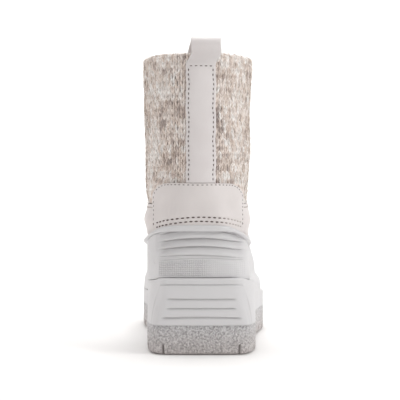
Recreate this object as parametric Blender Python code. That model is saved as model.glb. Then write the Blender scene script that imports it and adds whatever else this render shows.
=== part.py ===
"""A right mukluk boot: moulded sole and shell, leather upper, knitted shaft, counter, pull strap and insole.

Metres, +Z up, toe towards +Y. +X is the wearer's right, which is this boot's outer side.
Every wall follows one surface, boot_surface, which is the outside of the leather and the knit.
"""

import math

import bmesh
import bpy
import numpy as np
from mathutils import Matrix

# Driving sizes of the boot.
SOLE_LENGTH = 0.275
BALL_WIDTH = 0.095
HEEL_WIDTH = 0.073
HEEL_HEIGHT = 0.0498
BALL_HEIGHT = 0.0300
TOE_TIP_HEIGHT = 0.0370
COLLAR_HEIGHT = 0.197
SHAFT_WIDTH = 0.0749
SHAFT_DEPTH = 0.112
INSTEP_HEIGHT = 0.105
INSTEP_PLACE = 0.146
TOE_SWING = 0.008

# Walls and clearances.
SHELL_WALL = 0.0030
LEATHER_WALL = 0.0016
KNIT_WALL = 0.0050
COUNTER_WALL = 0.0020
STRAP_THICKNESS = 0.0014
INSOLE_THICKNESS = 0.0045
INSOLE_CLEAR = 0.0004
INSOLE_EDGE = 0.0008
GAP = 0.0003

# The leather puffs out above the shell's rim at the sides.
LEATHER_PUFF = 0.0037
PUFF_RISE = 0.0045

# Heights of the lines round the back.
RIM_BACK_HEIGHT = 0.0844
RIM_WAIST_HEIGHT = 0.0665
RIM_FRONT_HEIGHT = 0.0980
SEAM_HEIGHT = 0.0980
SEAM_FRONT_HEIGHT = 0.1200
COUNTER_HEIGHT = 0.1105
COUNTER_INNER_REACH = 0.0300
COUNTER_OUTER_REACH = 0.0275
COUNTER_CORNER = 0.0100
COUNTER_CLEAR = 0.0010
COUNTER_SEAT = 0.0006

# Rim lip and louvre ribs of the shell.
LIP_HEIGHT = 0.0044
LIP_PROUD = 0.0013
RIB_DEPTH = 0.0012
RIB_INNER_REACH = 0.0264
RIB_OUTER_REACH = 0.0304
RIB_FADE = 0.0030
BAND_PROUD = 0.0003

# Outsole.
ARCH_HEIGHT = 0.0100
TOE_SPRING = 0.0130
HEEL_BREAST_PLACE = 0.080
SOLE_EDGE_ROUND = 0.0012
PANEL_GROOVE_DEPTH = 0.0011
PANEL_INNER_REACH = 0.0207
PANEL_OUTER_REACH = 0.0257
LUG_DEPTH = 0.0060
LUG_GROOVE = 0.0036
SLIT_WIDTH = 0.0018
SLIT_LENGTH = 0.0100
SLIT_PLACE = 0.0075

# Pull strap and loop.
STRAP_WIDTH = 0.0196
STRAP_SHIFT = 0.0006
STRAP_CLEAR = 0.0005
LOOP_RISE = 0.0100
LOOP_HEIGHT = COLLAR_HEIGHT + LOOP_RISE
LOOP_STITCH_DROP = 0.0090
LOOP_STITCH_HEIGHT = COLLAR_HEIGHT - LOOP_STITCH_DROP
LOOP_LEAN = 0.0033
LOOP_BULGE = 0.0034
LOOP_TAIL = 0.0150

COLUMNS = 56
HALF = COLUMNS // 2
STEP = 0.0004
HEEL_MIDDLE = 0.0010

# The sole's outline from above. forward: share of the length from the heel. full: half the width
# before the ends round off, as a share of half the local width, at the sole's top edge.
# block: the same near the ground, where the heel is squarer. swing: share of the toe's swing.
OUTLINE = {
    "forward": (0.0, 0.0055, 0.018, 0.04, 0.069, 0.14, 0.25, 0.38, 0.51, 0.62, 0.71, 0.82, 0.91, 1.0),
    "full": (4.10, 3.54, 2.67, 2.06, 1.76, 1.43, 1.13, 0.90, 0.875, 0.985, 1.063, 1.13, 1.20, 1.46),
    "block": (5.60, 4.66, 3.18, 2.31, 1.88, 1.45, 1.14, 0.90, 0.875, 0.985, 1.063, 1.13, 1.20, 1.46),
    "swing": (0.0, 0.0, 0.0, 0.0, 0.0, 0.0, 0.16, 0.36, 0.46, 0.32, 0.0, -0.42, -0.75, -1.0),
}

# The sole's top edge. forward: share of the length. rise: 0 at the ball's height, 1 at the heel's.
SOLE_TOP = {
    "forward": (0.0, 0.02, 0.06, 0.10, 0.22, 0.33, 0.44, 0.54, 0.64, 0.74, 0.84, 0.92, 1.0),
    "rise": (1.0, 0.99, 0.90, 0.855, 0.75, 0.57, 0.33, 0.09, 0.0, 0.0, 0.0, 0.0, 0.0),
    "tip": (0.0, 0.0, 0.0, 0.0, 0.0, 0.0, 0.0, 0.0, 0.0, 0.0, 0.12, 0.45, 1.0),
}

# The sole's underside, forward of the heel breast. forward: share of the way to the toe tip.
SOLE_UNDER = {
    "forward": (-0.03, 0.0, 0.04, 0.10, 0.16, 0.21, 0.25, 0.50, 0.66, 0.80, 0.90, 1.0),
    "arch": (0.0, 0.35, 0.92, 1.0, 0.62, 0.2, 0.0, 0.0, 0.0, 0.0, 0.0, 0.0),
    "spring": (0.0, 0.0, 0.0, 0.0, 0.0, 0.0, 0.0, 0.0, 0.0, 0.18, 0.48, 1.0),
}

# The ridge of the foot from the toe tip to the instep. forward: share of the length.
# rise: share of the way from the ball's height to the instep's.
RIDGE = {
    "rise": (-0.10, 0.04, 0.18, 0.31, 0.42, 0.505, 0.57, 0.635, 0.71, 0.80, 0.90),
    "forward": (0.968, 0.977, 0.980, 0.973, 0.953, 0.912, 0.860, 0.790, 0.715, 0.643, 0.579),
}

# The shaft's front from the instep up. up: share of the way from the instep to the collar.
# depth: share of the shaft's depth, from the back line.
SHAFT_FRONT = {
    "up": (0.22, 0.44, 0.70, 1.0, 1.1),
    "depth": (1.16, 1.065, 1.01, 1.0, 1.0),
}

# The back line. up: share of the way from the heel's sole to the collar. inset: share of the length.
BACK_LINE = {
    "up": (-0.2, 0.0, 0.17, 0.24, 0.33, 0.48, 0.72, 1.0, 1.1),
    "inset": (0.024, 0.0230, 0.0220, 0.0165, 0.0190, 0.0290, 0.0280, 0.0215, 0.0205),
}

# Widths of the boot at heights above the heel's sole. heel and shaft: shares of those widths.
# ball: share of the ball's width. foot: how much of the foot's outline the section keeps.
WIDTHS = {
    "up": (-0.20, -0.09, -0.045, 0.00, 0.08, 0.15, 0.20, 0.26, 0.33, 0.46, 0.58, 0.73, 0.83, 0.98, 1.1),
    "heel": (0.875, 0.875, 0.872, 0.870, 0.868, 0.880, 0.91, 0.975, 0.93, 0.95, 0.97, 0.97, 0.97, 0.97, 0.97),
    "ball": (0.908, 0.893, 0.830, 0.822, 0.775, 0.728, 0.700, 0.690, 0.70, 0.71, 0.72, 0.72, 0.72, 0.72, 0.72),
    "shaft": (0.90, 0.90, 0.90, 0.90, 0.91, 0.92, 0.93, 0.980, 0.960, 0.952, 0.966, 0.966, 0.975, 1.0, 1.0),
    "sway": (0.002, 0.002, -0.010, -0.013, -0.022, -0.027, -0.031, -0.034, -0.036, -0.028, -0.02, -0.028,
             -0.026, -0.02, -0.02),
    "foot": (1.0, 1.0, 1.0, 1.0, 0.93, 0.80, 0.66, 0.45, 0.25, 0.0, 0.0, 0.0, 0.0, 0.0, 0.0),
}

# The shell's rim. round: share of the way from back to front. drop: share of the way down from
# the back height to the waist's. climb: share of the way up from there to the front height.
RIM = {
    "round": (0.0, 0.028, 0.052, 0.074, 0.10, 0.156, 0.22, 0.38, 0.52, 0.68, 0.82, 0.92, 1.0),
    "drop": (0.0, 0.08, 0.16, 0.25, 0.37, 0.53, 0.66, 0.92, 1.0, 1.0, 1.0, 1.0, 1.0),
    "climb": (0.0, 0.0, 0.0, 0.0, 0.0, 0.0, 0.0, 0.0, 0.05, 0.25, 0.58, 0.85, 1.0),
}

# The strip of leather, seen from the side. out: share of the loop's bulge beyond the strip's seat.
# across: share of the wall that the loop straddles. up: share of the way from stitches to loop top.
LOOP = {
    "up": (0.0, 0.20, 0.48, 0.74, 0.92, 1.0, 0.95, 0.76, 0.48, 0.18, -0.10),
    "out": (0.0, 0.14, 0.70, 1.0, 0.72, 0.0, -0.10, 0.35, 0.50, 0.20, 0.0),
    "across": (0.0, 0.0, 0.0, 0.0, 0.0, 0.35, 0.88, 1.0, 1.0, 1.0, 1.0),
}

# Rows up the outsole's side, as shares of its height, with how deep the panel's grooves cut there.
SOLE_SIDE = {
    "up": (0.0, 0.026, 0.365, 0.385, 0.472, 0.492, 0.512, 0.588, 0.606, 0.626, 0.710, 0.729, 0.750,
           0.905, 1.0),
    "groove": (0.0, 0.0, 0.0, 0.0, 0.0, 1.0, 0.0, 0.0, 1.0, 0.0, 0.0, 1.0, 0.0, 0.0, 0.0),
    "inset": (1.0, 0.0, 0.0, 0.25, 0.25, 0.25, 0.25, 0.25, 0.25, 0.25, 0.25, 0.25, 0.25, 0.25, 1.1),
}

# Rows up the shell's outside below its lip, as shares of the wall: round the heel, and elsewhere.
# rib: how deep the louvres cut there. band: 1 on the plain band.
SHELL_SIDE = {
    "heel": (0.0, 0.38, 0.415, 0.455, 0.625, 0.665, 0.80, 0.84, 0.955, 1.0),
    "even": (0.0, 0.045, 0.115, 0.20, 0.30, 0.41, 0.53, 0.66, 0.82, 1.0),
    "rib": (0.0, 0.0, 0.15, 1.0, 0.0, 1.0, 0.0, 1.0, 0.0, 1.0),
    "band": (1.0, 1.0, 0.0, 0.0, 0.0, 0.0, 0.0, 0.0, 0.0, 0.0),
}

# Rows up a wall inside the shell, as shares of the way up to the rim.
INSIDE_ROWS = (0.0, 0.05, 0.13, 0.225, 0.335, 0.45, 0.575, 0.71, 0.85, 1.0)


def curve(table, along, column, at):
    """A smooth curve through a table's rows, level beyond its ends."""
    xs = np.array(table[along], float)
    ys = np.array(table[column], float)
    at = np.clip(np.asarray(at, float), xs[0], xs[-1])
    spans = np.diff(xs)
    slopes = np.diff(ys) / spans
    tangents = np.zeros(len(xs))
    for i in range(1, len(xs) - 1):
        before, after = slopes[i - 1], slopes[i]
        if before * after > 0:
            weight_before = 2 * spans[i] + spans[i - 1]
            weight_after = spans[i] + 2 * spans[i - 1]
            tangents[i] = (weight_before + weight_after) / (weight_before / before + weight_after / after)
    tangents[0] = slopes[0]
    tangents[-1] = slopes[-1]
    i = np.clip(np.searchsorted(xs, at, side="right") - 1, 0, len(xs) - 2)
    t = (at - xs[i]) / spans[i]
    rise = t * t * (3 - 2 * t)
    return (
        ys[i] * (1 - rise)
        + ys[i + 1] * rise
        + spans[i] * (tangents[i] * t * (1 - t) ** 2 - tangents[i + 1] * t * t * (1 - t))
    )


def smoothstep(low, high, at):
    t = np.clip((at - low) / (high - low), 0, 1)
    return t * t * (3 - 2 * t)


def along_from_angle(angle):
    """Share of a section's length, for an angle that is 0 at the back and half a turn at the front."""
    return (1 - np.cos(angle)) / 2


def outline_half_width(share, heel_half, ball_half, block=0.0):
    """Half the width before the ends round off. block runs from 0 at the sole's top edge to 1 at the ground."""
    local = heel_half + (ball_half - heel_half) * smoothstep(0.25, 0.60, share)
    top = curve(OUTLINE, "forward", "full", share)
    return local * (top + block * (curve(OUTLINE, "forward", "block", share) - top))


def outline_swing(share):
    return TOE_SWING * curve(OUTLINE, "forward", "swing", share)


def sole_top(forward):
    """Height of the sole's top edge at a distance forward of the heel."""
    share = forward / SOLE_LENGTH
    rise = curve(SOLE_TOP, "forward", "rise", share)
    tip = curve(SOLE_TOP, "forward", "tip", share)
    return BALL_HEIGHT + (HEEL_HEIGHT - BALL_HEIGHT) * rise + (TOE_TIP_HEIGHT - BALL_HEIGHT) * tip


def sole_under(forward):
    """Height of the sole's underside at a distance forward of the heel."""
    share = (forward - HEEL_BREAST_PLACE) / (SOLE_LENGTH - HEEL_BREAST_PLACE)
    arch = curve(SOLE_UNDER, "forward", "arch", share)
    return ARCH_HEIGHT * arch + TOE_SPRING * curve(SOLE_UNDER, "forward", "spring", share)


def ridge_tables():
    """Heights and distances forward of the boot's front line, from toe tip to collar, and its back line."""
    rise = np.array(RIDGE["rise"])
    foot_heights = BALL_HEIGHT + rise * (INSTEP_HEIGHT - BALL_HEIGHT)
    foot_forward = np.array(RIDGE["forward"]) * SOLE_LENGTH
    up = np.array(SHAFT_FRONT["up"])
    shaft_heights = INSTEP_HEIGHT + up * (COLLAR_HEIGHT - INSTEP_HEIGHT)
    shaft_forward = back_line(shaft_heights) + np.array(SHAFT_FRONT["depth"]) * SHAFT_DEPTH
    return {
        "height": np.concatenate([foot_heights, [INSTEP_HEIGHT], shaft_heights]),
        "forward": np.concatenate([foot_forward, [INSTEP_PLACE], shaft_forward]),
    }


def share_up(height):
    return (height - HEEL_HEIGHT) / (COLLAR_HEIGHT - HEEL_HEIGHT)


def back_line(height):
    return SOLE_LENGTH * curve(BACK_LINE, "up", "inset", share_up(height))


FRONT_LINE = ridge_tables()


def leather_puff(share, height):
    """How far the leather stands out at the sides, from just above the rim to the seam."""
    rim, seam = rim_height(share), seam_height(share)
    at_side = smoothstep(0.06, 0.17, share) * (1 - smoothstep(0.55, 0.85, share))
    above_rim = smoothstep(0.0, PUFF_RISE, height - rim)
    below_seam = 1 - smoothstep(0.55, 1.15, (height - rim) / (seam - rim))
    return LEATHER_PUFF * at_side * above_rim * below_seam


def boot_surface(angle, height):
    """Points (side, forward, height) of the outside of leather and knit, at an angle round a level section."""
    angle, height = np.broadcast_arrays(np.asarray(angle, float), np.asarray(height, float))
    share = along_from_angle(angle)
    up = share_up(height)
    back = back_line(height)
    front = curve(FRONT_LINE, "height", "forward", height)
    foot = curve(WIDTHS, "up", "foot", up)
    heel_half = HEEL_WIDTH / 2 * curve(WIDTHS, "up", "heel", up)
    ball_half = BALL_WIDTH / 2 * curve(WIDTHS, "up", "ball", up)
    shaft_half = SHAFT_WIDTH / 2 * curve(WIDTHS, "up", "shaft", up)
    half = foot * outline_half_width(share, heel_half, ball_half) + (1 - foot) * shaft_half
    half = half + leather_puff(share, height)
    middle = SHAFT_WIDTH * curve(WIDTHS, "up", "sway", up) + foot * outline_swing(share)
    return np.stack([middle + half * np.sin(angle), back + (front - back) * share, height], axis=-1)


def offset_surface(angle, height, out):
    """The boot surface, moved along its normal."""
    here = boot_surface(angle, height)
    round_it = boot_surface(angle + 0.01, height) - boot_surface(angle - 0.01, height)
    up_it = boot_surface(angle, height + STEP) - boot_surface(angle, height - STEP)
    normal = np.cross(round_it, up_it)
    normal /= np.linalg.norm(normal, axis=-1, keepdims=True)
    return here + normal * np.asarray(out)[..., None]


def angles(columns=COLUMNS):
    return np.arange(columns) * 2 * math.pi / columns


def angle_at_side(side, height):
    """The angle near the back where the surface lies at a distance to the side."""
    low, high = np.full(np.shape(side), -1.5), np.full(np.shape(side), 1.5)
    for _ in range(40):
        middle = (low + high) / 2
        short = boot_surface(middle, height)[..., 0] < side
        low, high = np.where(short, middle, low), np.where(short, high, middle)
    return (low + high) / 2


def rim_height(share):
    waist = RIM_BACK_HEIGHT + (RIM_WAIST_HEIGHT - RIM_BACK_HEIGHT) * curve(RIM, "round", "drop", share)
    return waist + (RIM_FRONT_HEIGHT - RIM_WAIST_HEIGHT) * curve(RIM, "round", "climb", share)


def seam_height(share):
    return SEAM_HEIGHT + (SEAM_FRONT_HEIGHT - SEAM_HEIGHT) * smoothstep(0.45, 1.0, share)


def foot_height(angle, out, above):
    """Height where the surface, moved out, comes down to a distance above the sole's top edge."""
    height = np.full(np.shape(angle), HEEL_HEIGHT)
    for _ in range(12):
        forward = offset_surface(angle, height, np.full(np.shape(angle), out))[..., 1]
        height = sole_top(forward) + above
    return height


def heights_along(angle, low, high, shares):
    """Heights that divide each column's length, from low to high, at the given shares."""
    fine = np.linspace(0, 1, 160)[:, None]
    levels = low + (high - low) * fine
    points = boot_surface(np.broadcast_to(angle, levels.shape), levels)
    lengths = np.linalg.norm(np.diff(points, axis=0), axis=-1)
    reached = np.concatenate([np.zeros((1, len(angle))), np.cumsum(lengths, axis=0)])
    rows = []
    for share in shares:
        wanted = np.broadcast_to(share, angle.shape) * reached[-1]
        rows.append([np.interp(wanted[i], reached[:, i], levels[:, i]) for i in range(len(angle))])
    return [np.array(row) for row in rows]


def place(points):
    """Rows of (side, forward, height) in the boot's own frame: middle of its length and width at the origin."""
    shift = np.array([MIDDLE_SIDE, SOLE_LENGTH / 2, 0.0])
    return np.asarray(points) - shift


def sole_ring(shares, inset, up):
    """One ring of the outsole at a share of its height: right side from back to front, then left side back."""
    right = np.asarray(shares)
    share = np.concatenate([right, right[-2:0:-1]])
    sign = np.concatenate([np.ones(len(right)), -np.ones(len(right) - 2)])
    round_off = 2 * np.sqrt(np.clip(share * (1 - share), 0, None))
    half = outline_half_width(share, HEEL_WIDTH / 2, BALL_WIDTH / 2, 1 - smoothstep(0.3, 0.9, up))
    side = HEEL_MIDDLE + outline_swing(share) + sign * half * round_off
    forward = SOLE_LENGTH * share
    ring = np.stack([side, forward], axis=-1)
    tangent = np.roll(ring, -1, axis=0) - np.roll(ring, 1, axis=0)
    tangent /= np.linalg.norm(tangent, axis=-1, keepdims=True)
    inward = np.stack([-tangent[:, 1], tangent[:, 0]], axis=-1)
    ring = ring + inward * np.asarray(inset)[:, None]
    low = sole_under(forward)
    return np.column_stack([ring, low + (sole_top(forward) - low) * up])


def sole_stations():
    """Shares of the length, close together at both ends and at the heel breast."""
    turn = np.linspace(0, math.pi, HALF + 1)
    even = (1 - np.cos(turn)) / 2
    breast = HEEL_BREAST_PLACE / SOLE_LENGTH
    pull = 0.10 * np.exp(-(((even - breast - 0.03) / 0.13) ** 2))
    return even - (even - breast - 0.03) * pull * 4 * (1 - even) * np.minimum(even * 6, 1)


def bounding_middle():
    """Middle of the outsole's width, between its widest points."""
    share = np.linspace(0, 1, 400)
    round_off = 2 * np.sqrt(share * (1 - share))
    half = outline_half_width(share, HEEL_WIDTH / 2, BALL_WIDTH / 2) * round_off
    middle = HEEL_MIDDLE + outline_swing(share)
    return ((middle + half).max() + (middle - half).min()) / 2


MIDDLE_SIDE = bounding_middle()


def material(name, color, roughness, metallic=0.0):
    made = bpy.data.materials.new(name)
    made.use_nodes = True
    shader = made.node_tree.nodes["Principled BSDF"]
    shader.inputs["Base Color"].default_value = (*color, 1.0)
    shader.inputs["Roughness"].default_value = roughness
    shader.inputs["Metallic"].default_value = metallic
    return made


def make_object(name, points, faces, finish):
    mesh = bpy.data.meshes.new(name)
    mesh.from_pydata([tuple(p) for p in np.asarray(points)], [], faces)
    mesh.validate()
    work = bmesh.new()
    work.from_mesh(mesh)
    bmesh.ops.recalc_face_normals(work, faces=work.faces)
    work.to_mesh(mesh)
    work.free()
    mesh.shade_smooth()
    mesh.set_sharp_from_angle(angle=math.radians(35))
    made = bpy.data.objects.new(name, mesh)
    mesh.materials.append(finish)
    bpy.context.scene.collection.objects.link(made)
    return made


def tube(name, outside, inside, finish):
    """A hollow solid from rings up its outside and rings up its inside, joined at top and bottom.

    Both sides are split into triangles the same way, so that walls one inside the other stay clear."""
    rings = list(outside) + list(reversed(inside))
    count = len(rings[0])
    points = place(np.concatenate(rings))
    faces = []
    for r in range(len(rings)):
        here, after = r * count, (r + 1) % len(rings) * count
        for i in range(count):
            j = (i + 1) % count
            if r < len(outside):
                faces.append((here + i, here + j, after + j))
                faces.append((here + i, after + j, after + i))
            else:
                faces.append((here + i, here + j, after + i))
                faces.append((here + j, after + j, after + i))
    return make_object(name, points, faces, finish)


def block(name, rings, finish):
    """A full solid: rings up its side, closed at both ends by strips from side to side."""
    count = len(rings[0])
    points = place(np.concatenate(rings))
    faces = []
    for r in range(len(rings) - 1):
        for i in range(count):
            j = (i + 1) % count
            faces.append((r * count + i, r * count + j, (r + 1) * count + j, (r + 1) * count + i))
    for r in (0, len(rings) - 1):
        base = r * count
        for i in range(count // 2):
            corners = [i, i + 1, (count - i - 1) % count, (count - i) % count]
            kept = list(dict.fromkeys(corners))
            faces.append([base + c for c in kept])
    return make_object(name, points, faces, finish)


def plate(name, outer, inner, finish):
    """A bent sheet with thickness, from two grids of points."""
    rows, columns = outer.shape[:2]
    points = place(np.concatenate([outer.reshape(-1, 3), inner.reshape(-1, 3)]))
    count = rows * columns
    faces = []
    for r in range(rows - 1):
        for c in range(columns - 1):
            a = r * columns + c
            quad = (a, a + 1, a + columns + 1, a + columns)
            faces.append(quad)
            faces.append(tuple(count + k for k in reversed(quad)))
    border = [c for c in range(columns)]
    border += [r * columns + columns - 1 for r in range(1, rows)]
    border += [(rows - 1) * columns + c for c in range(columns - 2, -1, -1)]
    border += [r * columns for r in range(rows - 2, 0, -1)]
    for i, here in enumerate(border):
        there = border[(i + 1) % len(border)]
        faces.append((here, count + here, count + there, there))
    return make_object(name, points, faces, finish)


def within_back(points, inner_reach, outer_reach, fade):
    """1 on the back between two distances to the side, fading out beyond them, and 0 off the heel."""
    side = points[..., 0]
    near_heel = 1 - smoothstep(0.10, 0.13, points[..., 1] / SOLE_LENGTH)
    inner = smoothstep(-inner_reach - fade, -inner_reach, side)
    outer = 1 - smoothstep(outer_reach, outer_reach + fade, side)
    return near_heel * inner * outer


def make_outsole(finish):
    stations = sole_stations()
    rings = []
    for up, groove, inset in zip(SOLE_SIDE["up"], SOLE_SIDE["groove"], SOLE_SIDE["inset"]):
        plain = np.full(COLUMNS, SOLE_EDGE_ROUND * inset)
        ring = sole_ring(stations, plain, up)
        if groove:
            on_panel = within_back(ring, PANEL_INNER_REACH, PANEL_OUTER_REACH, RIB_FADE)
            ring = sole_ring(stations, plain + groove * PANEL_GROOVE_DEPTH * on_panel, up)
        rings.append(ring)
    sole = block("outsole", rings, finish)
    for cutter in lug_cutters():
        cut = sole.modifiers.new(cutter.name, "BOOLEAN")
        cut.operation = "DIFFERENCE"
        cut.solver = "EXACT"
        cut.object = cutter
    return sole


def cutter_box(name, side, forward, size, turn, depth, ground):
    """A box that cuts a groove of the tread, up from the ground under one place."""
    work = bmesh.new()
    bmesh.ops.create_cube(work, size=1.0)
    bmesh.ops.scale(work, vec=(size[0], size[1], 2 * depth), verts=work.verts)
    bmesh.ops.rotate(work, matrix=Matrix.Rotation(turn, 3, "Z"), verts=work.verts)
    mesh = bpy.data.meshes.new(name)
    work.to_mesh(mesh)
    work.free()
    made = bpy.data.objects.new(name, mesh)
    made.location = place((side, forward, ground))
    made.hide_render = True
    made.display_type = "WIRE"
    bpy.context.scene.collection.objects.link(made)
    return made


def lug_cutters():
    """Chevron grooves across the forefoot, grooves across the heel, and two slits in the heel's back edge."""
    cutters = []
    width = BALL_WIDTH
    for number, share in enumerate((0.50, 0.575, 0.65, 0.725, 0.80, 0.88)):
        forward = share * SOLE_LENGTH
        ground = float(sole_under(forward))
        for hand, sign in (("inner", -1), ("outer", 1)):
            side = HEEL_MIDDLE + sign * width * 0.34
            size = (width * 0.48, LUG_GROOVE, 0)
            name = f"cut_fore_{hand}_{number}"
            cutters.append(cutter_box(name, side, forward, size, sign * -0.30, LUG_DEPTH, ground))
    for number, share in enumerate((0.30, 0.525, 0.75)):
        forward = share * HEEL_BREAST_PLACE
        for hand, sign in (("inner", -1), ("outer", 1)):
            side = HEEL_MIDDLE + sign * HEEL_WIDTH * 0.42
            size = (HEEL_WIDTH * 0.36, LUG_GROOVE, 0)
            name = f"cut_heel_{hand}_{number}"
            cutters.append(cutter_box(name, side, forward, size, sign * -0.22, LUG_DEPTH, 0.0))
    for hand, share, turn in (("inner", -0.315, -0.50), ("outer", 0.34, 0.50)):
        side = HEEL_WIDTH * share
        size = (SLIT_WIDTH, SLIT_LENGTH, 0)
        cutters.append(cutter_box(f"cut_slit_{hand}", side, SLIT_PLACE, size, turn, LUG_DEPTH, 0.0))
    return cutters


def make_shell(finish):
    angle = angles()
    share = along_from_angle(angle)
    inner_out = np.full(COLUMNS, GAP)
    outer_out = np.full(COLUMNS, GAP + SHELL_WALL)
    foot = foot_height(angle, GAP + SHELL_WALL, GAP)
    rim = rim_height(share)
    away = smoothstep(0.12, 0.34, share)
    lip_share = LIP_HEIGHT / column_lengths(angle, foot, rim)
    rings = []
    sides = zip(SHELL_SIDE["heel"], SHELL_SIDE["even"], SHELL_SIDE["rib"], SHELL_SIDE["band"])
    for heel_share, even_share, rib, band in sides:
        row_share = (heel_share * (1 - away) + even_share * away) * (1 - lip_share)
        height = heights_along(angle, foot, rim, [row_share])[0]
        plain = offset_surface(angle, height, outer_out)
        ribbed = within_back(plain, RIB_INNER_REACH, RIB_OUTER_REACH, RIB_FADE)
        out = outer_out - RIB_DEPTH * rib * ribbed + BAND_PROUD * band * (1 - away)
        rings.append(offset_surface(angle, height, out))
    lip_rows = ((0.02, 0.75), (0.30, 1.0), (0.80, 0.85), (1.0, 0.1))
    for up, proud in lip_rows:
        height = heights_along(angle, foot, rim, [1 - lip_share * (1 - up)])[0]
        rings.append(offset_surface(angle, height, outer_out + LIP_PROUD * proud))
    inside = [offset_surface(angle, height, inner_out) for height in heights_along(angle, foot, rim, INSIDE_ROWS)]
    for ring in (rings[0], inside[0]):
        ring[:, 2] = sole_top(ring[:, 1]) + GAP
    return tube("shell", rings, inside, finish)


def column_lengths(angle, low, high):
    levels = low + (high - low) * np.linspace(0, 1, 80)[:, None]
    points = boot_surface(np.broadcast_to(angle, levels.shape), levels)
    return np.linalg.norm(np.diff(points, axis=0), axis=-1).sum(axis=0)


def make_upper(finish):
    angle = angles()
    share = along_from_angle(angle)
    foot = foot_height(angle, GAP + SHELL_WALL, GAP)
    rim, seam = rim_height(share), seam_height(share)
    heights = heights_along(angle, foot, rim, INSIDE_ROWS)
    heights += heights_along(angle, rim, seam - GAP, (0.10, 0.22, 0.42, 0.64, 0.84, 1.0))
    flush = np.zeros(COLUMNS)
    outside = [offset_surface(angle, height, flush) for height in heights]
    inside = [offset_surface(angle, height, flush - LEATHER_WALL) for height in heights]
    for ring in (outside[0], inside[0]):
        ring[:, 2] = sole_top(ring[:, 1]) + GAP
    return tube("upper", outside, inside, finish)


def make_knit_shaft(finish):
    angle = angles()
    share = along_from_angle(angle)
    low = seam_height(share) + GAP
    round_edge = KNIT_WALL * 0.45
    top = np.full(COLUMNS, COLLAR_HEIGHT)
    heights = [low + (top - round_edge - low) * part for part in (0.0, 0.12, 0.28, 0.46, 0.64, 0.82, 1.0)]
    flush = np.zeros(COLUMNS)
    rings = [offset_surface(angle, height, flush) for height in heights]
    for part, drop in ((0.12, 0.42), (0.36, 0.05), (0.64, 0.05), (0.88, 0.42)):
        rings.append(offset_surface(angle, top - round_edge * drop, flush - KNIT_WALL * part))
    inside = [offset_surface(angle, height, flush - KNIT_WALL) for height in heights]
    return tube("knit_shaft", rings, inside, finish)


def make_counter(finish):
    across = np.sin(np.linspace(-math.pi / 2, math.pi / 2, 17))
    middle = (COUNTER_OUTER_REACH - COUNTER_INNER_REACH) / 2
    reach = (COUNTER_OUTER_REACH + COUNTER_INNER_REACH) / 2
    side = middle + reach * across
    into_corner = np.clip(np.abs(side - middle) - (reach - COUNTER_CORNER), 0, COUNTER_CORNER)
    top = COUNTER_HEIGHT - COUNTER_CORNER + np.sqrt(COUNTER_CORNER**2 - into_corner**2)
    rim = rim_height(along_from_angle(angle_at_side(side, np.full(side.shape, RIM_BACK_HEIGHT))))
    outer, inner = [], []
    for part in (0.0, 0.2, 0.4, 0.6, 0.8, 1.0):
        height = rim + COUNTER_CLEAR + (top - rim - COUNTER_CLEAR) * part
        angle = angle_at_side(side, height)
        inner.append(offset_surface(angle, height, np.full(side.shape, COUNTER_SEAT)))
        outer.append(offset_surface(angle, height, np.full(side.shape, COUNTER_SEAT + COUNTER_WALL)))
    return plate("counter", np.array(outer), np.array(inner), finish)


def strip_path():
    """The strip's middle line as (distance out from the back line, height) from the counter to the loop's tail."""
    seat = STRAP_CLEAR + STRAP_THICKNESS / 2
    straddle = KNIT_WALL + 2 * seat + GAP
    start = COUNTER_HEIGHT + STRAP_CLEAR
    climb = [(seat, start + (LOOP_STITCH_HEIGHT - start) * part) for part in (0, 0.17, 0.34, 0.5, 0.67, 0.84)]
    steps = np.linspace(0, len(LOOP["up"]) - 1, 25)
    row = {"row": range(len(LOOP["up"])), **LOOP}
    top = LOOP_HEIGHT - STRAP_THICKNESS / 2
    for step in steps:
        up = float(curve(row, "row", "up", step))
        out = seat + LOOP_BULGE * float(curve(row, "row", "out", step)) * (1 if step < 5 else -1)
        out -= straddle * float(curve(row, "row", "across", step))
        climb.append((out, LOOP_STITCH_HEIGHT + (top - LOOP_STITCH_HEIGHT) * up))
    last = climb[-1]
    climb.append((last[0], last[1] - LOOP_TAIL))
    return np.array(climb)


def make_pull_strap(finish):
    path = strip_path()
    direction = np.gradient(path, axis=0)
    direction /= np.linalg.norm(direction, axis=-1, keepdims=True)
    away = np.stack([direction[:, 1], -direction[:, 0]], axis=-1)
    across = np.linspace(-0.5, 0.5, 5)
    loop_top = np.argmax(path[:, 1])
    grids = []
    for half in (0.5, -0.5):
        line = path + away * STRAP_THICKNESS * half
        grid = []
        for row, (out, height) in enumerate(line):
            base_height = min(height, COLLAR_HEIGHT)
            lean = LOOP_LEAN * smoothstep(LOOP_STITCH_HEIGHT, COLLAR_HEIGHT, height)
            side = STRAP_SHIFT + STRAP_WIDTH * across
            angle = angle_at_side(side, np.full(side.shape, base_height))
            seat = boot_surface(angle, np.full(side.shape, base_height))[:, 1]
            back = boot_surface(0.0, base_height)[1]
            if row <= loop_top:
                curl = 1 - 0.85 * smoothstep(LOOP_STITCH_HEIGHT, COLLAR_HEIGHT, height)
            else:
                curl = 1.25 - 1.1 * smoothstep(COLLAR_HEIGHT, LOOP_HEIGHT, height)
            forward = back + (seat - back) * curl - out
            grid.append(np.column_stack([side + lean, forward, np.full(side.shape, height)]))
        grids.append(np.array(grid))
    return plate("pull_strap", grids[0], grids[1], finish)


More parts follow.
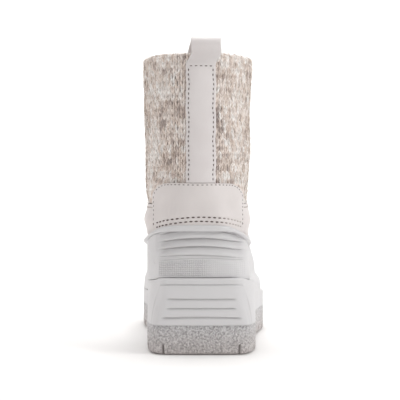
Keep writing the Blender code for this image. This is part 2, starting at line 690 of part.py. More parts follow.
def make_insole(finish):
    angle = angles()
    clear = LEATHER_WALL + GAP + INSOLE_CLEAR
    foot = foot_height(angle, GAP + SHELL_WALL, GAP)
    rings = []
    for up, edge in ((0.0, 1.0), (0.25, 0.0), (0.8, 0.0), (1.0, 1.0)):
        inner = np.full(COLUMNS, -clear - INSOLE_EDGE * edge)
        ring = offset_surface(angle, foot + INSOLE_THICKNESS * up, inner)
        ring[:, 2] = sole_top(ring[:, 1]) + GAP + INSOLE_THICKNESS * up
        rings.append(ring)
    return block("insole", rings, finish)


def clear_scene():
    for old in list(bpy.data.objects):
        bpy.data.objects.remove(old, do_unlink=True)


def main():
    clear_scene()
    rubber = material("moulded_rubber", (0.60, 0.59, 0.58), 0.55)
    shell_rubber = material("shell_rubber", (0.62, 0.61, 0.60), 0.5)
    leather = material("leather", (0.66, 0.62, 0.60), 0.6)
    counter_leather = material("counter_leather", (0.68, 0.64, 0.62), 0.6)
    strap_leather = material("strap_leather", (0.68, 0.64, 0.62), 0.62)
    knit = material("knit", (0.72, 0.66, 0.60), 0.95)
    lining = material("lining", (0.75, 0.72, 0.68), 0.95)
    make_outsole(rubber)
    make_shell(shell_rubber)
    make_upper(leather)
    make_knit_shaft(knit)
    make_counter(counter_leather)
    make_pull_strap(strap_leather)
    make_insole(lining)


main()
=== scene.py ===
"""The looks of the right mukluk boot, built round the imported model.

Metres, +Z up, toe towards +Y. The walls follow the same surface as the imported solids, at a finer pitch.
"""

import math

import bpy
import numpy as np
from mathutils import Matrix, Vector, noise


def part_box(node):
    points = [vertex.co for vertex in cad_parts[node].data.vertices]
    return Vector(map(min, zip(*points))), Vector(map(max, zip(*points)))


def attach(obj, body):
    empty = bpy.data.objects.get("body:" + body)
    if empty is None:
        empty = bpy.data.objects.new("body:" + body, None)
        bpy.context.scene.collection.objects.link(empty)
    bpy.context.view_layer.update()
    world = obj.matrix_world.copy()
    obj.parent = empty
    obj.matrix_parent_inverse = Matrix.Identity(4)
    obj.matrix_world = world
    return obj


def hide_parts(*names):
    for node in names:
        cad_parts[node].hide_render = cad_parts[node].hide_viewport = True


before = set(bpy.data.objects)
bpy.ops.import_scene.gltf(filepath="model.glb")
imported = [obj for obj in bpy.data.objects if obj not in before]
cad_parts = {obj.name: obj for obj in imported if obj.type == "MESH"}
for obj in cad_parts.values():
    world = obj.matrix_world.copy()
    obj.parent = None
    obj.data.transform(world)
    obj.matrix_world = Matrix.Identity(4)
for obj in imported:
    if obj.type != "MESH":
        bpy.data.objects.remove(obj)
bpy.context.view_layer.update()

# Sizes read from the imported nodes.
SOLE_LOW, SOLE_HIGH = (Vector(corner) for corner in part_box("outsole"))
SOLE_LENGTH = SOLE_HIGH.y - SOLE_LOW.y
HEEL_HEIGHT = SOLE_HIGH.z
COLLAR_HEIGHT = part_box("knit_shaft")[1][2]
LOOP_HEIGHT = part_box("pull_strap")[1][2]
COUNTER_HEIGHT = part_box("counter")[1][2]

# Sizes of the boot that the nodes' boxes don't give.
BALL_WIDTH = 0.095
HEEL_WIDTH = 0.073
BALL_HEIGHT = 0.0300
TOE_TIP_HEIGHT = 0.0370
SHAFT_WIDTH = 0.0749
SHAFT_DEPTH = 0.112
INSTEP_HEIGHT = 0.105
INSTEP_PLACE = 0.146
TOE_SWING = 0.008
SHELL_WALL = 0.0030
LEATHER_WALL = 0.0016
KNIT_WALL = 0.0050
COUNTER_WALL = 0.0020
STRAP_THICKNESS = 0.0014
INSOLE_THICKNESS = 0.0045
GAP = 0.0003
LEATHER_PUFF = 0.0037
PUFF_RISE = 0.0045
RIM_BACK_HEIGHT = 0.0844
RIM_WAIST_HEIGHT = 0.0665
RIM_FRONT_HEIGHT = 0.0980
SEAM_HEIGHT = 0.0980
SEAM_FRONT_HEIGHT = 0.1200
COUNTER_INNER_REACH = 0.0300
COUNTER_OUTER_REACH = 0.0275
COUNTER_CORNER = 0.0100
COUNTER_SEAT = 0.0006
LIP_HEIGHT = 0.0040
LIP_PROUD = 0.0013
ARCH_HEIGHT = 0.0100
TOE_SPRING = 0.0130
HEEL_BREAST_PLACE = 0.080
LUG_DEPTH = 0.0060
LUG_GROOVE = 0.0036
STRAP_WIDTH = 0.0196
STRAP_SHIFT = 0.0006
STRAP_CLEAR = 0.0005
LOOP_STITCH_HEIGHT = 0.1880
LOOP_LEAN = 0.0033
LOOP_BULGE = 0.0044
LOOP_TAIL = 0.0150
HEEL_MIDDLE = 0.0010
STEP = 0.0004
TURN_STEP = 0.01

OUTLINE = {
    "forward": (0.0, 0.0055, 0.018, 0.04, 0.069, 0.14, 0.25, 0.38, 0.51, 0.62, 0.71, 0.82, 0.91, 1.0),
    "full": (4.10, 3.54, 2.67, 2.06, 1.76, 1.43, 1.13, 0.90, 0.875, 0.985, 1.063, 1.13, 1.20, 1.46),
    "block": (5.60, 4.66, 3.18, 2.31, 1.88, 1.45, 1.14, 0.90, 0.875, 0.985, 1.063, 1.13, 1.20, 1.46),
    "swing": (0.0, 0.0, 0.0, 0.0, 0.0, 0.0, 0.16, 0.36, 0.46, 0.32, 0.0, -0.42, -0.75, -1.0),
}
SOLE_TOP = {
    "forward": (0.0, 0.02, 0.06, 0.10, 0.22, 0.33, 0.44, 0.54, 0.64, 0.74, 0.84, 0.92, 1.0),
    "rise": (1.0, 0.99, 0.90, 0.855, 0.75, 0.57, 0.33, 0.09, 0.0, 0.0, 0.0, 0.0, 0.0),
    "tip": (0.0, 0.0, 0.0, 0.0, 0.0, 0.0, 0.0, 0.0, 0.0, 0.0, 0.12, 0.45, 1.0),
}
SOLE_UNDER = {
    "forward": (-0.03, 0.0, 0.04, 0.10, 0.16, 0.21, 0.25, 0.50, 0.66, 0.80, 0.90, 1.0),
    "arch": (0.0, 0.35, 0.92, 1.0, 0.62, 0.2, 0.0, 0.0, 0.0, 0.0, 0.0, 0.0),
    "spring": (0.0, 0.0, 0.0, 0.0, 0.0, 0.0, 0.0, 0.0, 0.0, 0.18, 0.48, 1.0),
}
RIDGE = {
    "rise": (-0.10, 0.04, 0.18, 0.31, 0.42, 0.505, 0.57, 0.635, 0.71, 0.80, 0.90),
    "forward": (0.968, 0.977, 0.980, 0.973, 0.953, 0.912, 0.860, 0.790, 0.715, 0.643, 0.579),
}
SHAFT_FRONT = {
    "up": (0.22, 0.44, 0.70, 1.0, 1.1),
    "depth": (1.16, 1.065, 1.01, 1.0, 1.0),
}
BACK_LINE = {
    "up": (-0.2, 0.0, 0.17, 0.24, 0.33, 0.48, 0.72, 1.0, 1.1),
    "inset": (0.024, 0.0230, 0.0220, 0.0165, 0.0190, 0.0290, 0.0280, 0.0215, 0.0205),
}
WIDTHS = {
    "up": (-0.20, -0.09, -0.045, 0.00, 0.08, 0.15, 0.20, 0.26, 0.33, 0.46, 0.58, 0.73, 0.83, 0.98, 1.1),
    "heel": (0.875, 0.875, 0.872, 0.870, 0.868, 0.880, 0.91, 0.975, 0.93, 0.95, 0.97, 0.97, 0.97, 0.97, 0.97),
    "ball": (0.908, 0.893, 0.830, 0.822, 0.775, 0.728, 0.700, 0.690, 0.70, 0.71,
             0.72, 0.72, 0.72, 0.72, 0.72),
    "shaft": (0.90, 0.90, 0.90, 0.90, 0.91, 0.92, 0.93, 0.980, 0.960, 0.952, 0.966, 0.966, 0.975, 1.0, 1.0),
    "sway": (0.002, 0.002, -0.010, -0.013, -0.022, -0.027, -0.031, -0.034, -0.036, -0.028, -0.02, -0.028,
             -0.026, -0.02, -0.02),
    "foot": (1.0, 1.0, 1.0, 1.0, 0.93, 0.80, 0.66, 0.45, 0.25, 0.0, 0.0, 0.0, 0.0, 0.0, 0.0),
}
RIM = {
    "round": (0.0, 0.028, 0.052, 0.074, 0.10, 0.156, 0.22, 0.38, 0.52, 0.68, 0.82, 0.92, 1.0),
    "drop": (0.0, 0.08, 0.16, 0.25, 0.37, 0.53, 0.66, 0.92, 1.0, 1.0, 1.0, 1.0, 1.0),
    "climb": (0.0, 0.0, 0.0, 0.0, 0.0, 0.0, 0.0, 0.0, 0.05, 0.25, 0.58, 0.85, 1.0),
}
LOOP = {
    "up": (0.0, 0.20, 0.48, 0.74, 0.92, 1.0, 0.95, 0.76, 0.48, 0.18, -0.10),
    "out": (0.0, 0.14, 0.70, 1.0, 0.72, 0.0, -0.10, 0.35, 0.50, 0.20, 0.0),
    "across": (0.0, 0.0, 0.0, 0.0, 0.0, 0.35, 0.88, 1.0, 1.0, 1.0, 1.0),
}


# The boot's own surface.
def curve(table, along, column, at):
    """A smooth curve through a table's rows, level beyond its ends."""
    xs = np.array(table[along], float)
    ys = np.array(table[column], float)
    at = np.clip(np.asarray(at, float), xs[0], xs[-1])
    spans = np.diff(xs)
    slopes = np.diff(ys) / spans
    tangents = np.zeros(len(xs))
    for i in range(1, len(xs) - 1):
        before, after = slopes[i - 1], slopes[i]
        if before * after > 0:
            weight_before = 2 * spans[i] + spans[i - 1]
            weight_after = spans[i] + 2 * spans[i - 1]
            tangents[i] = (weight_before + weight_after) / (weight_before / before + weight_after / after)
    tangents[0] = slopes[0]
    tangents[-1] = slopes[-1]
    i = np.clip(np.searchsorted(xs, at, side="right") - 1, 0, len(xs) - 2)
    t = (at - xs[i]) / spans[i]
    rise = t * t * (3 - 2 * t)
    return (
        ys[i] * (1 - rise)
        + ys[i + 1] * rise
        + spans[i] * (tangents[i] * t * (1 - t) ** 2 - tangents[i + 1] * t * t * (1 - t))
    )


def smoothstep(low, high, at):
    t = np.clip((np.asarray(at, float) - low) / (high - low), 0, 1)
    return t * t * (3 - 2 * t)


def bump_at(middle, half, at):
    """1 at the middle, falling smoothly to 0 half a width away."""
    return 1 - smoothstep(0.0, 1.0, np.abs((np.asarray(at, float) - middle) / half))


def unit(vectors):
    return vectors / np.linalg.norm(vectors, axis=-1, keepdims=True)


def run_length(path):
    """The length reached at each point of a path, from 0."""
    return np.concatenate([[0.0], np.cumsum(np.linalg.norm(np.diff(path, axis=0), axis=1))])


def along_from_angle(angle):
    """Share of the way forward, from the back at angle 0 to the front at a half turn."""
    return (1 - np.cos(angle)) / 2


def outline_half_width(share, heel_half, ball_half, block=0.0):
    local = heel_half + (ball_half - heel_half) * smoothstep(0.25, 0.60, share)
    top = curve(OUTLINE, "forward", "full", share)
    return local * (top + block * (curve(OUTLINE, "forward", "block", share) - top))


def outline_swing(share):
    return TOE_SWING * curve(OUTLINE, "forward", "swing", share)


def sole_top(forward):
    share = forward / SOLE_LENGTH
    rise = curve(SOLE_TOP, "forward", "rise", share)
    tip = curve(SOLE_TOP, "forward", "tip", share)
    return BALL_HEIGHT + (HEEL_HEIGHT - BALL_HEIGHT) * rise + (TOE_TIP_HEIGHT - BALL_HEIGHT) * tip


def sole_under(forward):
    share = (forward - HEEL_BREAST_PLACE) / (SOLE_LENGTH - HEEL_BREAST_PLACE)
    arch = curve(SOLE_UNDER, "forward", "arch", share)
    return ARCH_HEIGHT * arch + TOE_SPRING * curve(SOLE_UNDER, "forward", "spring", share)


def share_up(height):
    return (height - HEEL_HEIGHT) / (COLLAR_HEIGHT - HEEL_HEIGHT)


def back_line(height):
    return SOLE_LENGTH * curve(BACK_LINE, "up", "inset", share_up(height))


def front_line():
    """Heights and distances forward of the boot's front line, from toe tip to collar."""
    foot_heights = BALL_HEIGHT + np.array(RIDGE["rise"]) * (INSTEP_HEIGHT - BALL_HEIGHT)
    foot_forward = np.array(RIDGE["forward"]) * SOLE_LENGTH
    shaft_heights = INSTEP_HEIGHT + np.array(SHAFT_FRONT["up"]) * (COLLAR_HEIGHT - INSTEP_HEIGHT)
    shaft_forward = back_line(shaft_heights) + np.array(SHAFT_FRONT["depth"]) * SHAFT_DEPTH
    return {
        "height": np.concatenate([foot_heights, [INSTEP_HEIGHT], shaft_heights]),
        "forward": np.concatenate([foot_forward, [INSTEP_PLACE], shaft_forward]),
    }


FRONT_LINE = front_line()


def leather_puff(share, height):
    """How far the leather stands out at the sides, from just above the rim to the seam."""
    rim, seam = rim_height(share), seam_height(share)
    at_side = smoothstep(0.06, 0.17, share) * (1 - smoothstep(0.55, 0.85, share))
    above_rim = smoothstep(0.0, PUFF_RISE, height - rim)
    below_seam = 1 - smoothstep(0.55, 1.15, (height - rim) / (seam - rim))
    return LEATHER_PUFF * at_side * above_rim * below_seam


def boot_surface(angle, height):
    """Points (side, forward, height) of the outside of leather and knit, by angle round a section."""
    angle, height = np.broadcast_arrays(np.asarray(angle, float), np.asarray(height, float))
    share = along_from_angle(angle)
    up = share_up(height)
    back = back_line(height)
    front = curve(FRONT_LINE, "height", "forward", height)
    foot = curve(WIDTHS, "up", "foot", up)
    heel_half = HEEL_WIDTH / 2 * curve(WIDTHS, "up", "heel", up)
    ball_half = BALL_WIDTH / 2 * curve(WIDTHS, "up", "ball", up)
    shaft_half = SHAFT_WIDTH / 2 * curve(WIDTHS, "up", "shaft", up)
    half = foot * outline_half_width(share, heel_half, ball_half) + (1 - foot) * shaft_half
    half = half + leather_puff(share, height)
    middle = SHAFT_WIDTH * curve(WIDTHS, "up", "sway", up) + foot * outline_swing(share)
    return np.stack([middle + half * np.sin(angle), back + (front - back) * share, height], axis=-1)


def surface_normal(angle, height):
    round_it = boot_surface(angle + TURN_STEP, height) - boot_surface(angle - TURN_STEP, height)
    up_it = boot_surface(angle, height + STEP) - boot_surface(angle, height - STEP)
    return unit(np.cross(round_it, up_it))


def offset_surface(angle, height, out):
    """The boot surface, moved along its normal."""
    angle, height, out = np.broadcast_arrays(angle, height, out)
    return boot_surface(angle, height) + surface_normal(angle, height) * out[..., None]


def spaced_angles(columns, height, back_gain):
    """Angles round the section at a height, evenly spaced along it but closer together at the back."""
    fine = np.linspace(-math.pi, math.pi, 8001)
    ring = boot_surface(fine, np.full(fine.shape, height))[:, :2]
    length = np.linalg.norm(np.diff(ring, axis=0), axis=1)
    forward = (ring[1:, 1] + ring[:-1, 1]) / 2 - ring[:, 1].min()
    weight = length * (1 + back_gain * (1 - smoothstep(0.012, 0.030, forward)))
    reached = np.concatenate([[0.0], np.cumsum(weight)])
    wanted = (np.arange(columns) + 0.5) / columns * reached[-1]
    return np.interp(wanted, reached, fine)


def angle_at_side(side, height):
    """The angle near the back where the surface lies at a distance to the side."""
    side, height = np.broadcast_arrays(np.asarray(side, float), np.asarray(height, float))
    low, high = np.full(side.shape, -1.5), np.full(side.shape, 1.5)
    for _ in range(40):
        middle = (low + high) / 2
        short = boot_surface(middle, height)[..., 0] < side
        low, high = np.where(short, middle, low), np.where(short, high, middle)
    return (low + high) / 2


def rim_height(share):
    waist = RIM_BACK_HEIGHT + (RIM_WAIST_HEIGHT - RIM_BACK_HEIGHT) * curve(RIM, "round", "drop", share)
    return waist + (RIM_FRONT_HEIGHT - RIM_WAIST_HEIGHT) * curve(RIM, "round", "climb", share)


def seam_height(share):
    return SEAM_HEIGHT + (SEAM_FRONT_HEIGHT - SEAM_HEIGHT) * smoothstep(0.45, 1.0, share)


def foot_height(angle):
    """Height just above the outsole's top edge where the shell's outside meets it."""
    height = np.full(np.shape(angle), HEEL_HEIGHT)
    for _ in range(12):
        height = sole_top(offset_surface(angle, height, GAP + SHELL_WALL)[..., 1]) + GAP
    return height


def seat_on_sole(rings):
    """Bring a wall's first and last ring down to just above the outsole."""
    for ring in (rings[0], rings[-1]):
        ring[:, 2] = sole_top(ring[:, 1]) + GAP


def heights_along(angle, low, high, shares):
    """Heights that divide each column's length, from low to high, at the given shares."""
    fine = np.linspace(0, 1, 160)[:, None]
    levels = low + (high - low) * fine
    points = boot_surface(np.broadcast_to(angle, levels.shape), levels)
    lengths = np.linalg.norm(np.diff(points, axis=0), axis=-1)
    reached = np.concatenate([np.zeros((1, len(angle))), np.cumsum(lengths, axis=0)])
    wanted = np.asarray(shares)[:, None] * reached[-1] if np.ndim(shares) == 1 else shares * reached[-1]
    rows = [np.interp(wanted[:, i], reached[:, i], levels[:, i]) for i in range(len(angle))]
    return np.array(rows).T


def bounding_middle():
    share = np.linspace(0, 1, 400)
    round_off = 2 * np.sqrt(share * (1 - share))
    half = outline_half_width(share, HEEL_WIDTH / 2, BALL_WIDTH / 2) * round_off
    middle = HEEL_MIDDLE + outline_swing(share)
    return ((middle + half).max() + (middle - half).min()) / 2


MIDDLE_SIDE = bounding_middle()
SHIFT = np.array([MIDDLE_SIDE, SOLE_LENGTH / 2, 0.0])


def noise_at(points, scale, seed=0.0):
    """Smooth noise from -1 to 1 at each point, with features of about the given size in metres."""
    flat = points.reshape(-1, 3) / scale + seed
    values = [noise.noise(Vector(p)) for p in flat.tolist()]
    return np.array(values).reshape(points.shape[:-1])


# Meshes.
def link(name, data):
    made = bpy.data.objects.new(name, data)
    bpy.context.scene.collection.objects.link(made)
    return made


def add_mesh(name, points, faces, finish, values=None):
    """A smooth mesh riding on the boot. values are numbers kept at each point for the material to read."""
    mesh = bpy.data.meshes.new(name)
    placed = np.asarray(points, float) - SHIFT
    mesh.from_pydata(placed.tolist(), [], faces if isinstance(faces, list) else faces.tolist())
    mesh.validate()
    mesh.shade_smooth()
    for key, column in (values or {}).items():
        layer = mesh.attributes.new(key, "FLOAT", "POINT")
        layer.data.foreach_set("value", np.asarray(column, np.float32).ravel())
    mesh.materials.append(finish)
    made = link(name, mesh)
    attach(made, "root")
    return made


def ring_faces(rings, columns, closed=True):
    """Quads between rings of points; closed joins the last ring to the first."""
    row = np.arange(rings if closed else rings - 1)[:, None]
    column = np.arange(columns)[None, :]
    here, after, beside = row * columns, (row + 1) % rings * columns, (column + 1) % columns
    corners = [here + column, here + beside, after + beside, after + column]
    return np.stack([np.broadcast_to(c, (len(row), columns)) for c in corners], axis=-1).reshape(-1, 4)


def sheet_faces(rows, columns):
    """Quads of a plate: its outer grid, its inner grid and the border between them."""
    r, c = np.meshgrid(np.arange(rows - 1), np.arange(columns - 1), indexing="ij")
    a = (r * columns + c).ravel()
    outer = np.stack([a, a + 1, a + columns + 1, a + columns], axis=-1)
    count = rows * columns
    inner = outer[:, ::-1] + count
    border = list(range(columns))
    border += [k * columns + columns - 1 for k in range(1, rows)]
    border += [(rows - 1) * columns + k for k in range(columns - 2, -1, -1)]
    border += [k * columns for k in range(rows - 2, 0, -1)]
    here = np.array(border)
    there = np.roll(here, -1)
    side = np.stack([here, count + here, count + there, there], axis=-1)
    return np.concatenate([outer, inner, side])


def tubes(path, across, up, radius, sides, squash=1.0):
    """Rings of points round every point of many paths, squashed a little in the second direction."""
    turn = np.arange(sides) * 2 * math.pi / sides
    first, second = np.cos(turn)[:, None], squash * np.sin(turn)[:, None]
    around = first * across[..., None, :] + second * up[..., None, :]
    return path[..., None, :] + radius[..., None, None] * around


def tube_faces(count, steps, sides):
    """Quads and end caps of many closed tubes that are made alike."""
    one = ring_faces(steps, sides, closed=False).tolist()
    one += [list(reversed(range(sides))), list(range((steps - 1) * sides, steps * sides))]
    size = steps * sides
    return [tuple(k * size + v for v in face) for k in range(count) for face in one]


# Materials.
def srgb(red, green, blue):
    """A colour given in the 0 to 255 values seen on screen."""
    def linear(value):
        value /= 255
        return value / 12.92 if value <= 0.04045 else ((value + 0.055) / 1.055) ** 2.4
    return (linear(red), linear(green), linear(blue), 1.0)


def dimmed(color, share):
    return tuple(value * share for value in color[:3]) + (1.0,)


class Finish:
    """A material under construction: its nodes, and short ways to add more."""

    def __init__(self, name, color, roughness, sheen=0.0):
        self.material = bpy.data.materials.new(name)
        self.material.use_nodes = True
        self.tree = self.material.node_tree
        self.shader = self.tree.nodes["Principled BSDF"]
        self.shader.inputs["Base Color"].default_value = color
        self.shader.inputs["Roughness"].default_value = roughness
        self.shader.inputs["Sheen Weight"].default_value = sheen
        self.place = self.node("ShaderNodeTexCoord").outputs["Object"]
        self.height = None

    def node(self, kind, links=None, **settings):
        made = self.tree.nodes.new(kind)
        for key, value in settings.items():
            if key in made.inputs:
                made.inputs[key].default_value = value
            else:
                setattr(made, key, value)
        for key, source in (links or {}).items():
            self.tree.links.new(source, made.inputs[key])
        return made

    def feed(self, socket, value):
        """Set a socket to a number or colour, or link it to another node's output."""
        if isinstance(value, (int, float, tuple)):
            socket.default_value = value
        else:
            self.tree.links.new(value, socket)

    def noise(self, size, detail=3.0):
        """Noise whose features are about the given size in metres."""
        made = self.node("ShaderNodeTexNoise", {"Vector": self.place}, Detail=detail, Scale=1 / size)
        return made.outputs["Fac"]

    def attribute(self, name):
        return self.node("ShaderNodeAttribute", attribute_name=name).outputs["Fac"]

    def math(self, operation, *values):
        made = self.node("ShaderNodeMath", operation=operation)
        for index, value in enumerate(values):
            self.feed(made.inputs[index], value)
        return made.outputs[0]

    def ramp(self, source, stops):
        """Colours, or greys, at positions along a value from 0 to 1."""
        made = self.node("ShaderNodeValToRGB", {"Fac": source})
        points = made.color_ramp.elements
        while len(points) < len(stops):
            points.new(0.5)
        for point, (position, color) in zip(points, stops):
            point.position = position
            point.color = color if isinstance(color, tuple) else (color, color, color, 1.0)
        return made.outputs["Color"]

    def mix(self, first, second, amount, blend="MIX"):
        made = self.node("ShaderNodeMix", data_type="RGBA", blend_type=blend)
        for socket, value in (("Factor", amount), ("A", first), ("B", second)):
            self.feed(next(s for s in made.inputs if s.name == socket and s.enabled), value)
        return next(s for s in made.outputs if s.enabled)

    def color(self, source):
        self.feed(self.shader.inputs["Base Color"], source)

    def roughness(self, source):
        self.feed(self.shader.inputs["Roughness"], source)

    def relief(self, source, depth, strength=1.0):
        """Fine relief too small to model, of the given depth in metres."""
        made = self.node("ShaderNodeBump", {"Height": source}, Strength=strength, Distance=depth)
        if self.height is not None:
            self.tree.links.new(self.height, made.inputs["Normal"])
        self.height = made.outputs["Normal"]
        self.tree.links.new(self.height, self.shader.inputs["Normal"])


def rubber_finish(name, base, groove, roughness):
    """Satin moulded rubber: clouded a little, duller and with painted shade down in its grooves and pebble
    pits, and warmer towards the ground.
    """
    finish = Finish(name, base, roughness)
    fine = finish.noise(0.0011, 2.0)
    body = finish.ramp(finish.noise(0.030), ((0.3, dimmed(base, 0.965)), (0.7, base)))
    pebble = finish.noise(0.00125, 1.5)
    pebbled = finish.attribute("grain")
    # Painted shade: the groove colour is mixed in by the cavity value and in the low spots of the pebble.
    pebble_pit_shade = finish.math("MULTIPLY", finish.ramp(pebble, ((0.42, 0.50), (0.56, 0.0))), pebbled)
    shade = finish.mix(body, groove, finish.math("ADD", finish.attribute("cavity_shade"), pebble_pit_shade))
    # The rubber is tinted warmer and a little darker towards the ground.
    low = finish.node("ShaderNodeSeparateXYZ", {"Vector": finish.place}).outputs["Z"]
    warmer_near_ground = ((0.0, srgb(252, 245, 241)), (0.38, srgb(255, 255, 255)))
    warm = finish.ramp(finish.math("MULTIPLY", low, 20.0), warmer_near_ground)
    finish.color(finish.mix(shade, warm, 1.0, blend="MULTIPLY"))
    finish.relief(finish.math("MULTIPLY", pebble, pebbled), 0.0009)
    finish.roughness(finish.ramp(fine, ((0.3, roughness - 0.05), (0.7, roughness + 0.06))))
    finish.relief(fine, 0.00003)
    return finish.material


def leather_finish(name, base, deep, roughness=0.52):
    """Smooth coated leather with a fine pebble and soft clouding, and painted shade in stitch troughs and at
    the loop's bend.
    """
    finish = Finish(name, base, roughness)
    cells = finish.node("ShaderNodeTexVoronoi", {"Vector": finish.place}, Scale=1 / 0.0007, feature="F1")
    body = finish.ramp(finish.noise(0.018, 4.0), ((0.32, deep), (0.66, base)))
    # Painted shade: darker where the cavity value is high, in stitch troughs and at the loop's bend.
    finish.color(finish.mix(body, dimmed(base, 0.55), finish.attribute("cavity_shade")))
    finish.roughness(finish.ramp(finish.noise(0.004), ((0.3, roughness - 0.06), (0.7, roughness + 0.08))))
    finish.relief(cells.outputs["Distance"], 0.00006, 0.7)
    finish.relief(finish.noise(0.0030), 0.00008, 0.6)
    return finish.material


SOLE_COLOR = srgb(213, 212, 213)
SHELL_COLOR = srgb(211, 210, 211)
LEATHER_COLOR = srgb(222, 216, 214)
# Colour of the painted shade in the rubber's grooves and pits.
RUBBER_GROOVE_SHADE = srgb(140, 137, 139)

sole_rubber = rubber_finish("sole_rubber_satin", SOLE_COLOR, RUBBER_GROOVE_SHADE, 0.50)
shell_rubber = rubber_finish("shell_rubber_satin", SHELL_COLOR, RUBBER_GROOVE_SHADE, 0.44)
leather = leather_finish("quarter_leather", LEATHER_COLOR, srgb(215, 208, 206))
counter_leather = leather_finish("counter_leather_smooth", LEATHER_COLOR, srgb(216, 210, 208))
strap_leather = leather_finish("strap_leather_smooth", srgb(222, 217, 216), srgb(217, 211, 210))


# Outsole.
PEBBLE_TOP = 0.0188
PEBBLE_DEPTH = 0.00036
PEBBLE_SIZE = 0.00120
PANEL_TOP = 0.0449
PANEL_LOW = 0.0230
PANEL_TOP_REACH = 0.0262
PANEL_LOW_REACH = 0.0335
PANEL_PROUD = 0.0009
PANEL_GROOVES = (
    # Each groove of the panel: height, depth, reach to each side and how far its ends fall.
    (0.0363, 0.0010, 0.0235, 0.0),
    (0.0302, 0.0009, 0.0235, 0.0),
    (0.0245, 0.0012, 0.0270, 0.0007),
)
PANEL_LINE = 0.00035
GROUND_ROUND = 0.0022
GROUND_CORNER_ROUND = 0.0040
SOLE_EDGE_ROUND = 0.0012
CHEVRONS = (0.50, 0.575, 0.65, 0.725, 0.80, 0.88)
HEEL_GROOVES = (0.30, 0.525, 0.75)
# Each slit in the heel's back edge: its place as a share of the heel's width, and its turn.
SLITS = ((-0.315, -0.50), (0.34, 0.50))
SLIT_WIDTH = 0.0015
SLIT_LENGTH = 0.0110
SLIT_PLACE = 0.0036
SLIT_HEIGHT = 0.0066


def sole_stations(count, gain):
    """Shares of the sole's length, evenly spaced round its edge but closer together at the back."""
    turn = np.linspace(0, math.pi, 6001)
    share = (1 - np.cos(turn)) / 2
    half = outline_half_width(share, HEEL_WIDTH / 2, BALL_WIDTH / 2, 1.0) * 2 * np.sqrt(share * (1 - share))
    edge = np.column_stack([half + outline_swing(share), SOLE_LENGTH * share])
    length = np.linalg.norm(np.diff(edge, axis=0), axis=1)
    near = 1 - smoothstep(0.010, 0.030, (edge[1:, 1] + edge[:-1, 1]) / 2)
    reached = np.concatenate([[0.0], np.cumsum(length * (1 + gain * near))])
    return np.interp(np.linspace(0, reached[-1], count + 1), reached, share)


def sole_ring(right, inset, up):
    """A ring of the outsole, right side from back to front, then left side back, moved in by inset."""
    share = np.concatenate([right, right[-2:0:-1]])
    sign = np.concatenate([np.ones(len(right)), -np.ones(len(right) - 2)])
    round_off = 2 * np.sqrt(np.clip(share * (1 - share), 0, None))
    half = outline_half_width(share, HEEL_WIDTH / 2, BALL_WIDTH / 2, 1 - smoothstep(0.3, 0.9, up))
    side = HEEL_MIDDLE + outline_swing(share) + sign * half * round_off
    forward = SOLE_LENGTH * share
    ring = np.stack([side, forward], axis=-1)
    tangent = unit(np.roll(ring, -1, axis=0) - np.roll(ring, 1, axis=0))
    inward = np.stack([-tangent[:, 1], tangent[:, 0]], axis=-1)
    ring = ring + inward * np.asarray(inset)[:, None]
    low = sole_under(forward)
    return np.column_stack([ring, low + (sole_top(forward) - low) * up])


def panel_mask(side, height, at_heel):
    """1 on the raised panel of the heel's back, which widens downward."""
    down = np.clip((PANEL_TOP - height) / (PANEL_TOP - PANEL_LOW), 0, 1)
    reach = PANEL_TOP_REACH + (PANEL_LOW_REACH - PANEL_TOP_REACH) * down**0.8
    inside = 1 - smoothstep(0.0, 0.0010, np.abs(side - HEEL_MIDDLE) - reach)
    below_top = 1 - smoothstep(PANEL_TOP - 0.0004, PANEL_TOP + 0.0005, height)
    return inside * below_top * smoothstep(PEBBLE_TOP - 0.001, PEBBLE_TOP + 0.001, height) * at_heel


def sole_relief(points):
    """How far the outsole's side stands out, and how much painted shade its grooves, panel edge and pebble
    pits get, at each point.
    """
    side, forward, height = points[..., 0], points[..., 1], points[..., 2]
    at_heel = 1 - smoothstep(0.006, 0.016, forward)
    mask = panel_mask(side, height, at_heel)
    out = PANEL_PROUD * mask
    # The darkening added below is painted shade: in the panel's grooves and top line, round the panel's
    # raised edge and in the pebble's pits.
    cavity_shade = np.zeros(side.shape)
    across = side - HEEL_MIDDLE
    for level, depth, reach, fall in PANEL_GROOVES:
        shift = height - (level - fall * (across / reach) ** 2)
        cut = np.where(shift > 0, 1 - smoothstep(0.0, 0.0004, shift), 1 - smoothstep(0.0, 0.0019, -shift))
        ends = 1 - smoothstep(reach - 0.004, reach, np.abs(across))
        out = out - depth * cut * ends * at_heel
        cavity_shade = cavity_shade + 0.45 * bump_at(0.0, 0.0007, shift + 0.0002) * ends * at_heel
    line = bump_at(PANEL_TOP + 0.0006, 0.0006, height) * at_heel
    line = line * (1 - smoothstep(0.022, 0.027, np.abs(across)))
    out = out - PANEL_LINE * line
    cavity_shade = cavity_shade + 0.25 * line
    pebbled = 1 - smoothstep(PEBBLE_TOP - 0.0006, PEBBLE_TOP + 0.0006, height)
    grain = noise_at(points, PEBBLE_SIZE, 3.0) + 0.35 * noise_at(points, PEBBLE_SIZE * 0.55, 9.0)
    worm = smoothstep(-0.34, 0.30, grain)
    out = out + PEBBLE_DEPTH * (worm - 0.75) * pebbled
    cavity_shade = cavity_shade + 0.26 * (1 - worm) * pebbled + 0.30 * mask * (1 - mask) * 4
    return out, np.clip(cavity_shade, 0, 1), pebbled


